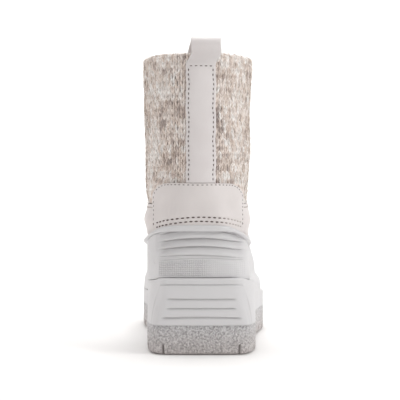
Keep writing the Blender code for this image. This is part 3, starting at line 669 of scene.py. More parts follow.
def tread_grooves():
    """Side, forward, width, length, height, turn and ground of each chevron, heel groove and slit."""
    grooves = []
    for share in CHEVRONS:
        forward = share * SOLE_LENGTH
        size = (BALL_WIDTH * 0.48, LUG_GROOVE, LUG_DEPTH)
        for sign in (-1, 1):
            side = HEEL_MIDDLE + sign * BALL_WIDTH * 0.34
            grooves.append((side, forward, *size, sign * -0.30, float(sole_under(forward))))
    for share in HEEL_GROOVES:
        size = (HEEL_WIDTH * 0.36, LUG_GROOVE, LUG_DEPTH)
        for sign in (-1, 1):
            side = HEEL_MIDDLE + sign * HEEL_WIDTH * 0.42
            grooves.append((side, share * HEEL_BREAST_PLACE, *size, sign * -0.22, 0.0))
    for side, turn in SLITS:
        grooves.append((HEEL_WIDTH * side, SLIT_PLACE, SLIT_WIDTH, SLIT_LENGTH, SLIT_HEIGHT, turn, 0.0))
    return grooves


def cut_tread(sole):
    """Cut the tread's grooves up from the ground, then drop the cutters."""
    corners = np.array([(x, y, z) for z in (-1, 1) for x, y in ((-1, -1), (1, -1), (1, 1), (-1, 1))], float)
    box = [(3, 2, 1, 0), (4, 5, 6, 7), (0, 1, 5, 4), (1, 2, 6, 5), (2, 3, 7, 6), (3, 0, 4, 7)]
    points, faces = [], []
    for side, forward, width, length, rise, turn, ground in tread_grooves():
        shape = corners * (width / 2, length / 2, rise)
        x = shape[:, 0] * math.cos(turn) - shape[:, 1] * math.sin(turn)
        y = shape[:, 0] * math.sin(turn) + shape[:, 1] * math.cos(turn)
        start = len(points) * 8
        points.append(np.column_stack([x + side, y + forward, shape[:, 2] + ground]) - SHIFT)
        faces += [tuple(start + v for v in face) for face in box]
    mesh = bpy.data.meshes.new("tread_cutters")
    mesh.from_pydata(np.concatenate(points).tolist(), [], faces)
    cutters = link("tread_cutters", mesh)
    cut = sole.modifiers.new("tread", "BOOLEAN")
    cut.operation = "DIFFERENCE"
    cut.solver = "MANIFOLD"
    cut.object = cutters
    bpy.context.view_layer.update()
    shape = sole.evaluated_get(bpy.context.evaluated_depsgraph_get())
    made = bpy.data.meshes.new_from_object(shape)
    sole.modifiers.clear()
    sole.data = made
    made.shade_smooth()
    made.set_sharp_from_angle(angle=math.radians(50))
    bpy.data.objects.remove(cutters)


def make_outsole():
    right = sole_stations(count=262, gain=7.0)
    count = 2 * (len(right) - 1)
    low_rows, high_rows = np.linspace(0.055, 0.39, 60), np.linspace(0.40, 0.97, 62)
    ups = np.concatenate([[0.0, 0.008, 0.018, 0.030, 0.044], low_rows, high_rows, [0.98, 0.990, 1.0]])
    rings, cavity_shades, grains = [], [], []
    for up in ups:
        plain = sole_ring(right, np.zeros(count), up)
        side, forward, height = plain.T
        at_corner = bump_at(0.0, 0.020, forward) * smoothstep(0.022, 0.034, np.abs(side - HEEL_MIDDLE))
        ground = GROUND_ROUND + (GROUND_CORNER_ROUND - GROUND_ROUND) * at_corner
        low = np.clip(1 - (height - sole_under(forward)) / ground, 0, 1)
        high = np.clip(1 - (sole_top(forward) - height) / SOLE_EDGE_ROUND, 0, 1)
        inset = ground * (1 - np.sqrt(1 - low**2)) + SOLE_EDGE_ROUND * (1 - np.sqrt(1 - high**2))
        out, cavity_shade, pebbled = sole_relief(sole_ring(right, inset, up))
        grains.append(pebbled * smoothstep(0.0, 0.03, up))
        keep = 1 - np.maximum(low, high) ** 2
        rings.append(sole_ring(right, inset - out * keep, up))
        cavity_shades.append(cavity_shade)
    points = np.concatenate(rings)
    faces = ring_faces(len(ups), count, closed=False).tolist()
    for ring in (0, len(ups) - 1):
        base = ring * count
        for i in range(count // 2):
            corners = [i, i + 1, (count - i - 1) % count, (count - i) % count]
            kept = list(dict.fromkeys(corners))
            faces.append([base + c for c in (kept if ring else kept[::-1])])
    sole = add_mesh("outsole_body", points, faces, sole_rubber,
                    values={"cavity_shade": np.concatenate(cavity_shades), "grain": np.concatenate(grains)})
    cut_tread(sole)
    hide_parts("outsole")


# Shell.
LOUVRES = (
    # Each groove of the ribs: height at the middle, fall at the ends and outward, depth, and thickness of the
    # painted shade line under its edge.
    (0.0814, 0.0042, 0.0008, 0.0022, 0.0016),
    (0.0756, 0.0029, 0.0004, 0.0023, 0.0010),
    (0.0704, 0.0027, 0.0004, 0.0021, 0.0010),
    (0.0646, 0.0018, 0.0008, 0.0011, 0.0006),
)
LOUVRE_REACH = 0.0290
LOUVRE_MIDDLE = 0.0015
LOUVRE_SLOPE = 0.0046
BAND_TOP = 0.0625
BAND_LOW = 0.0508
KNURL_PITCH = 0.00140
KNURL_DEPTH = 0.00045
PILLAR_PROUD = 0.0011
PILLAR_TOP = 0.0760
PILLAR_TIP = 0.0580
# The outer and inner side of each pillar, measured out from the middle line.
PILLAR_INNER_SIDE = (-0.0345, -0.0272)
PILLAR_OUTER_SIDE = (-0.0392, -0.0318)
# Shares of the length forward over which the heel's relief fades out.
HEEL_FADE = (0.10, 0.13)


def at_heel_of(points):
    """1 round the heel, falling to 0 forward of it."""
    return 1 - smoothstep(*HEEL_FADE, points[:, 1] / SOLE_LENGTH)


def shell_relief(points, at_heel):
    """How far the shell stands out round the heel, and how much painted shade its grooves, pillar edges and
    knurl get.
    """
    side, height = points[..., 0], points[..., 2]
    across = (side - LOUVRE_MIDDLE) / LOUVRE_REACH
    out = np.zeros(side.shape)
    cavity_shade = np.zeros(side.shape)
    for level, fall, lean, depth, thick in LOUVRES:
        shift = height - (level - fall * across**2 - lean * across)
        ends = 1 - smoothstep(0.86, 1.03, np.abs(across))
        slope = 1 - smoothstep(0.0, LOUVRE_SLOPE, -shift)
        cut = np.where(shift > 0, 1 - smoothstep(0.0, 0.00045, shift), slope)
        out = out - depth * cut * ends
        # Painted shade: a dark line under each rib's edge, tapering towards the ends, and along the band's
        # fine line.
        taper = thick * np.clip(1 - 0.55 * np.abs(across + 0.25), 0.25, 1)
        cavity_shade = cavity_shade + 0.80 * bump_at(0.0, 1.0, (shift + taper * 0.5) / (taper * 0.9)) * ends
    line_height = BAND_TOP - 0.0018 * across**2
    fine_line = bump_at(line_height, 0.0006, height) * (1 - smoothstep(0.85, 1.0, np.abs(across)))
    out = out - 0.0003 * fine_line
    cavity_shade = cavity_shade + 0.35 * fine_line
    pillar_left, edge_shade_left = pillar(side, height, *PILLAR_INNER_SIDE)
    pillar_right, edge_shade_right = pillar(-side, height, *PILLAR_OUTER_SIDE)
    out = out + PILLAR_PROUD * (pillar_left + pillar_right)
    # Painted shade along the pillars' outer edges.
    cavity_shade = cavity_shade + 0.45 * (edge_shade_left + edge_shade_right)
    band_top = line_height - 0.0006
    on_band = 1 - smoothstep(band_top - 0.0005, band_top, height)
    on_band = on_band * smoothstep(BAND_LOW, BAND_LOW + 0.0005, height)
    on_band = on_band * (1 - smoothstep(0.97, 1.0, np.abs(across)))
    right, up = side / KNURL_PITCH, height / KNURL_PITCH
    diamond = np.sin(math.pi * (right + up)) * np.sin(math.pi * (right - up))
    knurl = smoothstep(-0.45, 0.60, diamond)
    fade = 1 - 0.70 * smoothstep(0.000, 0.010, side)
    out = out + KNURL_DEPTH * (knurl - 0.6) * on_band * fade
    # Painted shade in the knurl's dips.
    cavity_shade = cavity_shade + 0.28 * (1 - knurl) * on_band * fade
    return out * at_heel, np.clip(cavity_shade, 0, 1) * at_heel


def pillar(side, height, outer, inner):
    """The smooth pointed pillar that hangs from the lip beside the louvres, and its outer edge, where painted
    shade goes.
    """
    up = np.clip((height - PILLAR_TIP) / (PILLAR_TOP - PILLAR_TIP), 0, 1)
    tip = inner - 0.0022
    left = tip + (outer - tip) * up**0.75
    right = tip + (inner - tip) * np.clip(up * 2.2, 0, 1)
    inside = smoothstep(left - 0.0003, left + 0.0006, side)
    inside = inside * (1 - smoothstep(right - 0.0012, right + 0.0004, side))
    shown = smoothstep(PILLAR_TIP - 0.0002, PILLAR_TIP + 0.0008, height)
    edge = bump_at(0.0, 0.0008, side - left) * shown * (1 - smoothstep(0.45, 0.9, up))
    return inside * shown, edge


def make_shell():
    angle = spaced_angles(columns=560, height=0.066, back_gain=3.4)
    share = along_from_angle(angle)
    foot = foot_height(angle)
    rim = rim_height(share)
    levels = heights_along(angle, foot, rim, np.linspace(0, 1, 80))
    points = boot_surface(np.broadcast_to(angle, levels.shape), levels)
    length = np.linalg.norm(np.diff(points, axis=0), axis=-1).sum(axis=0)
    lip_share = LIP_HEIGHT / length
    outer = GAP + SHELL_WALL
    away = smoothstep(0.12, 0.34, share)
    at_side = smoothstep(0.03, 0.12, share) * (1 - smoothstep(0.30, 0.60, share))
    proud = LIP_PROUD * (1 + 0.75 * at_side)
    rings, cavity_shades = [], []
    walls = np.concatenate([np.linspace(0, 0.42, 58, endpoint=False), np.linspace(0.42, 1, 64)])
    for wall in walls:
        height = heights_along(angle, foot, rim, (wall * (1 - lip_share))[None, :])[0]
        plain = offset_surface(angle, height, outer)
        relief, cavity_shade = shell_relief(plain, at_heel_of(plain))
        edge = 0.0004 * (1 - smoothstep(0.0, 0.02, wall)) * (1 - away)
        rings.append(offset_surface(angle, height, outer + relief - edge))
        cavity_shades.append(cavity_shade)
    heel_lip = at_heel_of(rings[-1])
    under_counter = behind_counter(rings[-1])
    for turn in np.linspace(0, 1, 15):
        bead = math.sin(math.pi * turn) ** 0.45
        up = 0.03 + 0.97 * turn
        height = heights_along(angle, foot, rim, (1 - lip_share * (1 - up))[None, :])[0]
        recess = -0.0006 * heel_lip * (1 - smoothstep(0.0, 0.2, turn))
        rings.append(offset_surface(angle, height, outer + proud * bead + recess - 0.0003 * turn**8))
        # Painted shade at the foot of the lip's bead, round the heel.
        cavity_shades.append(0.5 * heel_lip * (1 - smoothstep(0.0, 0.12, turn)))
    count = len(angle)
    seat = GAP + (COUNTER_SEAT + COUNTER_WALL + 0.0001 - GAP) * under_counter
    drop = 0.0009 / length
    inside = [(1.0, seat), (1 - drop, seat), (1 - drop * 1.3, GAP)]
    inside += [(wall, GAP) for wall in (0.8, 0.5, 0.2, 0.0)]
    for wall, out in inside:
        height = heights_along(angle, foot, rim, np.ones((1, count)) * wall)[0]
        rings.append(offset_surface(angle, height, out))
        cavity_shades.append(np.zeros(count))
    seat_on_sole(rings)
    shell = add_mesh("shell_skin", np.concatenate(rings), ring_faces(len(rings), count), shell_rubber,
                     values={"cavity_shade": np.concatenate(cavity_shades)})
    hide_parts("shell")


def behind_counter(points):
    """1 at points of the rim that the counter's lower edge stands behind."""
    side = points[:, 0]
    inner = smoothstep(-COUNTER_INNER_REACH - 0.0030, -COUNTER_INNER_REACH - 0.0016, side)
    outer = 1 - smoothstep(COUNTER_OUTER_REACH + 0.0016, COUNTER_OUTER_REACH + 0.0030, side)
    return inner * outer * (points[:, 1] < 0.060)


# Leather upper.
CREASES = (
    # Where each soft crease of the vamp lies: height, depth, and how far round from the front it runs.
    (0.1130, 0.0009, 0.72),
    (0.1075, 0.0011, 0.62),
    (0.1025, 0.0007, 0.80),
)


def make_upper():
    angle = spaced_angles(columns=420, height=0.090, back_gain=1.0)
    share = along_from_angle(angle)
    foot = foot_height(angle)
    rim, seam = rim_height(share), seam_height(share) - GAP
    round_front = math.pi - np.abs(angle)
    heights = list(heights_along(angle, foot, rim, np.linspace(0, 0.94, 8)))
    heights += list(heights_along(angle, rim - (rim - foot) * 0.06, seam, np.linspace(0, 1, 56)))
    rings = []
    for height in heights:
        out = np.zeros(len(angle))
        for level, depth, reach in CREASES:
            sag = level - 0.010 * (round_front / reach) ** 2
            fade = 1 - smoothstep(0.6 * reach, reach, round_front)
            out -= depth * fade * bump_at(0.0, 0.0028, height - sag)
            out += depth * 0.5 * fade * bump_at(0.0042, 0.0030, height - sag)
        clear = smoothstep(rim - 0.002, rim + 0.001, height)
        rings.append(offset_surface(angle, height, out * clear))
    rings += [offset_surface(angle, heights[-1], -LEATHER_WALL * part) for part in (0.25, 0.75)]
    rings += [offset_surface(angle, height, -LEATHER_WALL) for height in reversed(heights[::7])]
    seat_on_sole(rings)
    faces = ring_faces(len(rings), len(angle))
    upper = add_mesh("leather_upper", np.concatenate(rings), faces, leather)
    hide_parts("upper")


# Counter.
COUNTER_MIDDLE = (COUNTER_OUTER_REACH - COUNTER_INNER_REACH) / 2
COUNTER_HALF = (COUNTER_OUTER_REACH + COUNTER_INNER_REACH) / 2
COUNTER_EDGE_ROUND = 0.0007
STITCH_ROWS = (0.0892, 0.0866)
STITCH_DROP = 0.0045


def stitch_row(side, level):
    """Height of a row of stitches, which falls towards the counter's sides."""
    return level - STITCH_DROP * (side / COUNTER_HALF) ** 2


def counter_top(side):
    past_corner = np.abs(side - COUNTER_MIDDLE) - (COUNTER_HALF - COUNTER_CORNER)
    into_corner = np.clip(past_corner, 0, COUNTER_CORNER)
    return COUNTER_HEIGHT - COUNTER_CORNER + np.sqrt(COUNTER_CORNER**2 - into_corner**2)


def counter_low(side):
    """Height of the counter's lower edge, just behind the shell's rim."""
    low = np.full(np.shape(side), RIM_BACK_HEIGHT)
    for _ in range(6):
        low = rim_height(along_from_angle(angle_at_side(side, low))) - 0.0007
    return low


def make_counter():
    columns, rows = 150, 84
    side = COUNTER_MIDDLE + COUNTER_HALF * np.sin(np.linspace(-math.pi / 2, math.pi / 2, columns))
    top, low = counter_top(side), counter_low(side)
    outer, inner, cavity_shades = [], [], []
    for part in np.sin(np.linspace(0, math.pi / 2, rows)):
        height = low + (top - low) * part
        angle = angle_at_side(side, height)
        edge = np.minimum(top - height, COUNTER_HALF - np.abs(side - COUNTER_MIDDLE))
        fall = COUNTER_EDGE_ROUND * np.clip(1 - edge / COUNTER_EDGE_ROUND, 0, 1) ** 2
        out = COUNTER_SEAT + COUNTER_WALL - fall
        cavity_shade = np.zeros(columns)
        for level in STITCH_ROWS:
            trough = bump_at(0.0, 0.0011, height - stitch_row(side, level))
            out = out - 0.00022 * trough
            # Painted shade in the stitch trough.
            cavity_shade = cavity_shade + 0.12 * trough
        outer.append(offset_surface(angle, height, out))
        inner.append(offset_surface(angle, height, COUNTER_SEAT))
        cavity_shades.append(cavity_shade)
    points = np.array(outer + inner).reshape(-1, 3)
    cavity_shade = np.concatenate([np.array(cavity_shades).ravel(), np.zeros(rows * columns)])
    counter = add_mesh("counter_panel", points, sheet_faces(rows, columns), counter_leather,
                       values={"cavity_shade": cavity_shade})
    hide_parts("counter")


# Pull strap and loop.
STRAP_WAVE = 0.00022
LOOP_TWIST = 0.0024
# Height and half width of the painted shade across the bend at the loop's foot.
LOOP_BEND_SHADE = (0.1930, 0.0085)
STRAP_STITCH_INSET = 0.0018
CLIMB_STEPS = 119
LOOP_STEPS = 121


def strap_wave(height):
    """How far the strap wanders to the side, by height."""
    return STRAP_WAVE * (np.sin(height * 260) + 0.6 * np.sin(height * 610 + 1))


def strip_path():
    """The strip's middle line from counter to loop's tail: distance out from the back line, and height."""
    seat = STRAP_CLEAR + STRAP_THICKNESS / 2
    straddle = KNIT_WALL + 2 * seat + GAP
    start = COUNTER_HEIGHT + STRAP_CLEAR
    parts = np.arange(CLIMB_STEPS) / CLIMB_STEPS
    climb = [(seat, start + (LOOP_STITCH_HEIGHT - start) * part) for part in parts]
    row = {"row": range(len(LOOP["up"])), **LOOP}
    top = LOOP_HEIGHT - STRAP_THICKNESS / 2
    for step in np.linspace(0, len(LOOP["up"]) - 1, LOOP_STEPS):
        up = float(curve(row, "row", "up", step))
        out = seat + LOOP_BULGE * float(curve(row, "row", "out", step)) * (1 if step < 5 else -1)
        out -= straddle * float(curve(row, "row", "across", step))
        climb.append((out, LOOP_STITCH_HEIGHT + (top - LOOP_STITCH_HEIGHT) * up))
    last = climb[-1]
    climb += [(last[0], last[1] - LOOP_TAIL * part) for part in (0.25, 0.5, 0.75, 1.0)]
    return np.array(climb)


def make_pull_strap():
    path = strip_path()
    direction = unit(np.gradient(path, axis=0))
    away = np.stack([direction[:, 1], -direction[:, 0]], axis=-1)
    across = np.sin(np.linspace(-math.pi / 2, math.pi / 2, 33)) / 2
    loop_top = int(np.argmax(path[:, 1]))
    edge = (0.5 - np.abs(across)) * STRAP_WIDTH
    round_edge = np.clip(1 - edge / 0.0006, 0, 1) ** 2
    grids, cavity_shade = [], []
    for half in (0.5, -0.5):
        grid = []
        for row, (here, normal) in enumerate(zip(path, away)):
            height = here[1]
            thick = STRAP_THICKNESS * (half - np.sign(half) * 0.35 * round_edge)
            stitch_trough = bump_at(0.0, 0.0010, edge - STRAP_STITCH_INSET) * (row < CLIMB_STEPS)
            if half > 0:
                thick = thick - 0.00018 * stitch_trough
                # Painted shade in the stitch troughs and across the bend at the loop's foot.
                bend = bump_at(*LOOP_BEND_SHADE, height) * (row <= loop_top)
                cavity_shade.append(0.10 * stitch_trough + 0.26 * bend)
            out = here[0] + normal[0] * thick
            level = height + normal[1] * thick
            base_height = np.minimum(level, COLLAR_HEIGHT)
            lean = LOOP_LEAN * smoothstep(LOOP_STITCH_HEIGHT, COLLAR_HEIGHT, height)
            if row > loop_top:
                lean = lean - LOOP_TWIST * (1 - smoothstep(COLLAR_HEIGHT, LOOP_HEIGHT, height))
            side = STRAP_SHIFT + STRAP_WIDTH * across
            angle = angle_at_side(side, base_height)
            seat = boot_surface(angle, base_height)[:, 1]
            back = boot_surface(0.0, base_height)[:, 1]
            if row <= loop_top:
                curl = 1 - 0.85 * smoothstep(LOOP_STITCH_HEIGHT, COLLAR_HEIGHT, height)
            else:
                curl = 1.25 - 1.1 * smoothstep(COLLAR_HEIGHT, LOOP_HEIGHT, height)
            forward = back + (seat - back) * curl - out
            grid.append(np.column_stack([side + lean + strap_wave(height), forward, level]))
        grids.append(np.array(grid))
    rows, columns = len(path), len(across)
    values = np.concatenate([np.array(cavity_shade).ravel(), np.zeros(rows * columns)])
    strap = add_mesh("pull_strap_strip", np.array(grids).reshape(-1, 3), sheet_faces(rows, columns),
                     strap_leather, values={"cavity_shade": values})
    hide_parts("pull_strap")


# Knitted shaft.
WALES = 76
ROW_PITCH = 0.0043
YARN_HALF = 0.00092
YARN_SEAT = 0.0010
COLLAR_ROUND = 0.0022
INSIDE_REACH = 0.014
KNIT_GIRTH = 0.300
KNIT_SEED = 11
PATCH_SIZE = 0.013
YARN_STEPS, YARN_SIDES = 7, 6
FIBRE_STEPS, FIBRE_SIDES = 4, 3


def wale_angles(fraction, height=0.150):
    """Angles at fractions of the way round the shaft, measured along its surface from the back."""
    fine = np.linspace(0, 2 * math.pi, 6001)
    ring = boot_surface(fine, np.full(fine.shape, height))[:, :2]
    reached = run_length(ring)
    turns = np.floor(fraction)
    return np.interp((fraction - turns) * reached[-1], reached, fine) + turns * 2 * math.pi


def over_collar(climb):
    """Height and distance out at a length of climb up the outside, over the collar and down inside."""
    straight = COLLAR_HEIGHT - COLLAR_ROUND
    turn = np.clip((climb - straight) / COLLAR_ROUND, 0, math.pi)
    down = np.clip(climb - straight - math.pi * COLLAR_ROUND, 0, None)
    height = np.minimum(climb, straight) + COLLAR_ROUND * np.sin(turn) - down
    out = -COLLAR_ROUND * (1 - np.cos(turn))
    return height, out, np.sin(turn), np.cos(turn)


def knit_point(fraction, climb, out):
    """A point of the knit, by fraction of the way round, length of climb and distance out."""
    height, seat, rise, lean = over_collar(climb)
    return offset_surface(wale_angles(fraction), height + out * rise, seat + out * lean)


def make_knit_ground(finish):
    """The ground behind the yarns, darker than the yarn as painted shade between the stitches: the wall of
    the shaft, open at the collar.
    """
    count = 240
    fraction = np.arange(count) / count
    angle = wale_angles(fraction)
    low = seam_height(along_from_angle(angle)) + GAP
    top = COLLAR_HEIGHT - COLLAR_ROUND + math.pi * COLLAR_ROUND
    rings = []
    for part in np.linspace(0, 1, 60):
        rings.append(knit_point(fraction, low + (top + INSIDE_REACH - low) * part, -0.0019))
    for part in np.linspace(0, 1, 20):
        level = (COLLAR_HEIGHT - COLLAR_ROUND - INSIDE_REACH) * (1 - part) + low * part
        rings.append(offset_surface(angle, level, -KNIT_WALL + 0.0008))
    ground = add_mesh("knit_ground", np.concatenate(rings), ring_faces(len(rings), count), finish)
    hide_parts("knit_shaft")


def hidden_stitch(side, forward, climb):
    """True where the strap or the counter covers the knit all over."""
    at_back = forward < 0.030
    under_strap = (np.abs(side - STRAP_SHIFT) < STRAP_WIDTH / 2 - 0.0022) & (climb < LOOP_STITCH_HEIGHT)
    under_counter = (np.abs(side + 0.0012) < 0.0225) & (climb < COUNTER_HEIGHT - 0.0040)
    return at_back & (under_strap | under_counter)


def stitch_table(random):
    """Wale, row, climb and yarn tone of each stitch."""
    top = COLLAR_HEIGHT - COLLAR_ROUND + math.pi * COLLAR_ROUND + INSIDE_REACH * 0.8
    first = SEAM_HEIGHT + ROW_PITCH * 0.40
    rows = np.arange(int((top - first) / ROW_PITCH))
    wale, row = (a.ravel() for a in np.meshgrid(np.arange(WALES), rows))
    fraction = (wale + 0.5) / WALES
    climb = first + row * ROW_PITCH
    angle = wale_angles(fraction)
    above_seam = climb - seam_height(along_from_angle(angle)) > ROW_PITCH * 0.30
    place = boot_surface(angle, np.minimum(climb, COLLAR_HEIGHT))
    shown = above_seam & ~hidden_stitch(place[:, 0], place[:, 1], climb)
    wale, row, climb, place = wale[shown], row[shown], climb[shown], place[shown]
    yarn = row * WALES + wale
    run = np.array([noise.noise(Vector((y / 5.0, 3.7, 0.2))) for y in yarn])
    patch = noise_at(place, PATCH_SIZE, 5.0)
    # The away term is painted light: yarn lighter away from the strap and darker beside it, where shade
    # falls; the rest of the tone varies at random.
    away = smoothstep(0.010, 0.030, np.abs(place[:, 0] - STRAP_SHIFT))
    tone = 0.42 + 0.22 * away + 0.12 * run + 0.36 * patch + random.normal(0, 0.17, len(wale))
    return wale, row, climb, np.clip(tone, 0, 1)


def make_yarns(finish):
    """The V stitches of the knit, each two fat legs of yarn, joined by quarters of the shaft."""
    random = np.random.default_rng(KNIT_SEED)
    wale, row, climb, tone = stitch_table(random)
    along = np.linspace(0, 1, YARN_STEPS)
    lean = 0.060 + 0.345 * along**0.9
    lift = (along - 0.5) * 1.75
    swell = np.clip(np.sin(math.pi * along), 0, 1) ** 0.8
    thick = YARN_HALF * (0.50 + 0.50 * np.sin(math.pi * (0.10 + 0.80 * along)) ** 0.7)
    quarter = (wale * 4 // WALES).astype(int)
    quarter_points = [[] for _ in range(4)]
    quarter_values = [{"tone": [], "along": [], "around": []} for _ in range(4)]
    for hand in (-1, 1):
        jitter = random.normal(0, 0.028, (len(wale), 1))
        slack = 1 + random.normal(0, 0.07, (len(wale), 1))
        level = random.normal(0, 0.09, (len(wale), 1))
        own_tone = np.clip(tone + random.normal(0, 0.17, len(wale)), 0, 1)
        fraction = (wale[:, None] + 0.5 + hand * lean[None, :] * slack + jitter) / WALES
        reach = climb[:, None] + ROW_PITCH * (lift[None, :] + level)
        lowest = seam_height(along_from_angle(wale_angles(fraction))) + GAP
        reach = np.maximum(reach, lowest + 0.0003)
        out = -YARN_SEAT - 0.0009 + 0.0011 * swell[None, :] + random.normal(0, 0.00016, (len(wale), 1))
        path = knit_point(fraction, reach, out)
        normal = unit(knit_point(fraction, reach, out + STEP) - path)
        across = np.cross(unit(np.gradient(path, axis=1)), normal)
        radius = thick[None, :] * (1 + random.normal(0, 0.09, (len(wale), 1)))
        ring = tubes(path, across, normal, radius, YARN_SIDES, squash=0.92)
        around = np.arange(YARN_SIDES) / YARN_SIDES * hand
        for q in range(4):
            pick = quarter == q
            quarter_points[q].append(ring[pick])
            shape = ring[pick].shape[:3]
            parts = (("tone", own_tone[pick][:, None, None]), ("along", along[:, None]), ("around", around))
            for key, part in parts:
                quarter_values[q][key].append(np.broadcast_to(part, shape))
    for q in range(4):
        points = np.concatenate(quarter_points[q])
        faces = tube_faces(len(points), YARN_STEPS, YARN_SIDES)
        values = {key: np.concatenate(parts) for key, parts in quarter_values[q].items()}
        add_mesh(f"knit_stitches_{q + 1}", points.reshape(-1, 3), faces, finish, values=values)


def make_fuzz(finish, name, count, lying, seed):
    """Loose fibres of the yarn, thin three-sided strands that lie along the stitches or stand off them."""
    random = np.random.default_rng(seed)
    fraction = random.random(count)
    top = COLLAR_HEIGHT - COLLAR_ROUND + math.pi * COLLAR_ROUND * 0.7
    low = seam_height(along_from_angle(wale_angles(fraction))) + 0.003
    climb = low + (top - low) * random.random(count)
    place = boot_surface(wale_angles(fraction), np.minimum(climb, COLLAR_HEIGHT))
    kept = ~hidden_stitch(place[:, 0], place[:, 1], climb)
    kept &= (place[:, 1] > 0.030) | (np.abs(place[:, 0] - STRAP_SHIFT) > STRAP_WIDTH / 2 + 0.0010)
    kept &= (place[:, 1] > 0.045) | (climb > COUNTER_HEIGHT + 0.0010)
    fraction, climb, place = fraction[kept], climb[kept], place[kept]
    total = len(fraction)
    along = np.linspace(0, 1, FIBRE_STEPS)[None, :]
    lean = random.normal(0, 0.34 if lying else 1.2, (total, 1))
    lean = lean * (1 - 2 * (random.random((total, 1)) < 0.5))
    curl = random.normal(0, 0.5, (total, 1))
    shortest, longest = (0.0022, 0.0050) if lying else (0.0012, 0.0030)
    length = random.uniform(shortest, longest, (total, 1))
    sway = length * (np.sin(lean) * along + curl * 0.35 * along * (1 - along))
    rise = length * np.cos(lean) * (along - 0.5)
    if lying:
        out = -0.0001 + 0.00045 * np.sin(math.pi * along) + random.uniform(-0.0003, 0.0003, (total, 1))
    else:
        out = 0.0001 + 0.6 * length * along * random.uniform(0.2, 1.0, (total, 1))
    path = knit_point(fraction[:, None] + sway / KNIT_GIRTH, climb[:, None] + rise, out)
    tangent = unit(np.gradient(path, axis=1))
    helper = unit(np.cross(tangent, np.array([0.3, 0.5, 0.81])))
    thick = 0.00013 if lying else 0.000045
    radius = thick * (0.35 + 0.65 * np.sin(math.pi * (0.08 + 0.84 * along)))
    ring = tubes(path, helper, np.cross(tangent, helper), radius, FIBRE_SIDES)
    tone = np.clip(0.55 + 0.35 * noise_at(place, PATCH_SIZE, 5.0) + random.normal(0, 0.28, total), 0, 1)
    add_mesh(name, ring.reshape(-1, 3), tube_faces(total, FIBRE_STEPS, FIBRE_SIDES), finish,
             values={"tone": np.repeat(tone, FIBRE_STEPS * FIBRE_SIDES)})


def fibre_finish():
    """Single fibres: white, beige and brown."""
    finish = Finish("knit_fibres", srgb(232, 224, 217), 0.9)
    finish.color(finish.ramp(finish.attribute("tone"), (
        (0.00, srgb(140, 122, 110)),
        (0.30, srgb(190, 172, 158)),
        (0.55, srgb(232, 218, 206)),
        (0.80, srgb(248, 243, 238)),
    )))
    return finish.material


def yarn_finish():
    """Marled wool: plies of cream, beige and grey twisted together, with loose fibre."""
    finish = Finish("knit_marled_yarn", srgb(226, 214, 204), 0.95, sheen=0.25)
    tone = finish.attribute("tone")
    shade = finish.ramp(tone, (
        (0.00, srgb(182, 170, 165)),
        (0.20, srgb(214, 201, 194)),
        (0.42, srgb(236, 224, 215)),
        (0.62, srgb(246, 239, 234)),
        (0.85, srgb(251, 248, 245)),
        (1.00, srgb(253, 252, 250)),
    ))
    twist = finish.math("ADD", finish.math("MULTIPLY", finish.attribute("along"), 2.2),
                        finish.math("MULTIPLY", finish.attribute("around"), 2.0))
    ply = finish.math("SINE", finish.math("MULTIPLY", twist, 2 * math.pi))
    ply = finish.math("MULTIPLY_ADD", ply, 0.5, 0.5)
    fleck = finish.math("MULTIPLY", finish.noise(0.0009), 0.75)
    marl = finish.ramp(finish.math("MULTIPLY_ADD", ply, 0.35, fleck), (
        (0.28, srgb(172, 158, 150)),
        (0.52, srgb(236, 229, 224)),
        (0.80, srgb(253, 251, 250)),
    ))
    finish.color(finish.mix(shade, marl, 0.42, blend="MULTIPLY"))
    finish.relief(ply, 0.00030, 0.8)
    finish.relief(finish.noise(0.00045, 2.0), 0.00022, 0.8)
    return finish.material


def plain_cloth(name, color, size, depth):
    finish = Finish(name, color, 0.95, sheen=0.2)
    finish.color(finish.ramp(finish.noise(size), ((0.3, dimmed(color, 0.82)), (0.7, color))))
    finish.relief(finish.noise(size * 0.6), depth)
    return finish.material


# Lining and insole.
FLEECE_DEPTH = 0.0007


def make_lining(finish):
    """A fleece lining inside the boot, from the collar's turned edge down to the insole."""
    angle = spaced_angles(columns=170, height=0.12, back_gain=0.0)
    foot = foot_height(angle) + INSOLE_THICKNESS + 0.0002
    top = COLLAR_HEIGHT - 0.004
    outer, inner = [], []
    for part in np.linspace(0, 1, 56):
        height = foot + (top - foot) * part
        seam = seam_height(along_from_angle(angle))
        in_shaft = smoothstep(-0.004, 0.003, height - seam)
        seat = -LEATHER_WALL - 0.0004 - (KNIT_WALL - LEATHER_WALL - 0.0002) * in_shaft
        seat = seat - 0.0016 * smoothstep(top - 0.016, top - 0.010, height)
        near = offset_surface(angle, height, seat)
        pile = FLEECE_DEPTH * noise_at(near, 0.0035, 2.0)
        outer.append(near)
        inner.append(offset_surface(angle, height, seat - 0.0012 + pile))
    rings = outer + inner[::-1]
    faces = ring_faces(len(rings), len(angle))
    add_mesh("fleece_lining", np.concatenate(rings), faces, finish)


# Threads.
THREADS = {
    # The stitches of each kind of row: pitch, length and half thickness.
    "counter": (0.0034, 0.0021, 0.00046),
    "edge": (0.0031, 0.0019, 0.00034),
    "strap": (0.0030, 0.0016, 0.00034),
    "loop": (0.0028, 0.0020, 0.00036),
    "seam": (0.0032, 0.0020, 0.00038),
}
STITCH_SHAPE = {"along": (-0.5, -0.36, 0.0, 0.36, 0.5), "girth": (0.35, 0.85, 1.0, 0.85, 0.35)}
STITCH_SIDES = 6


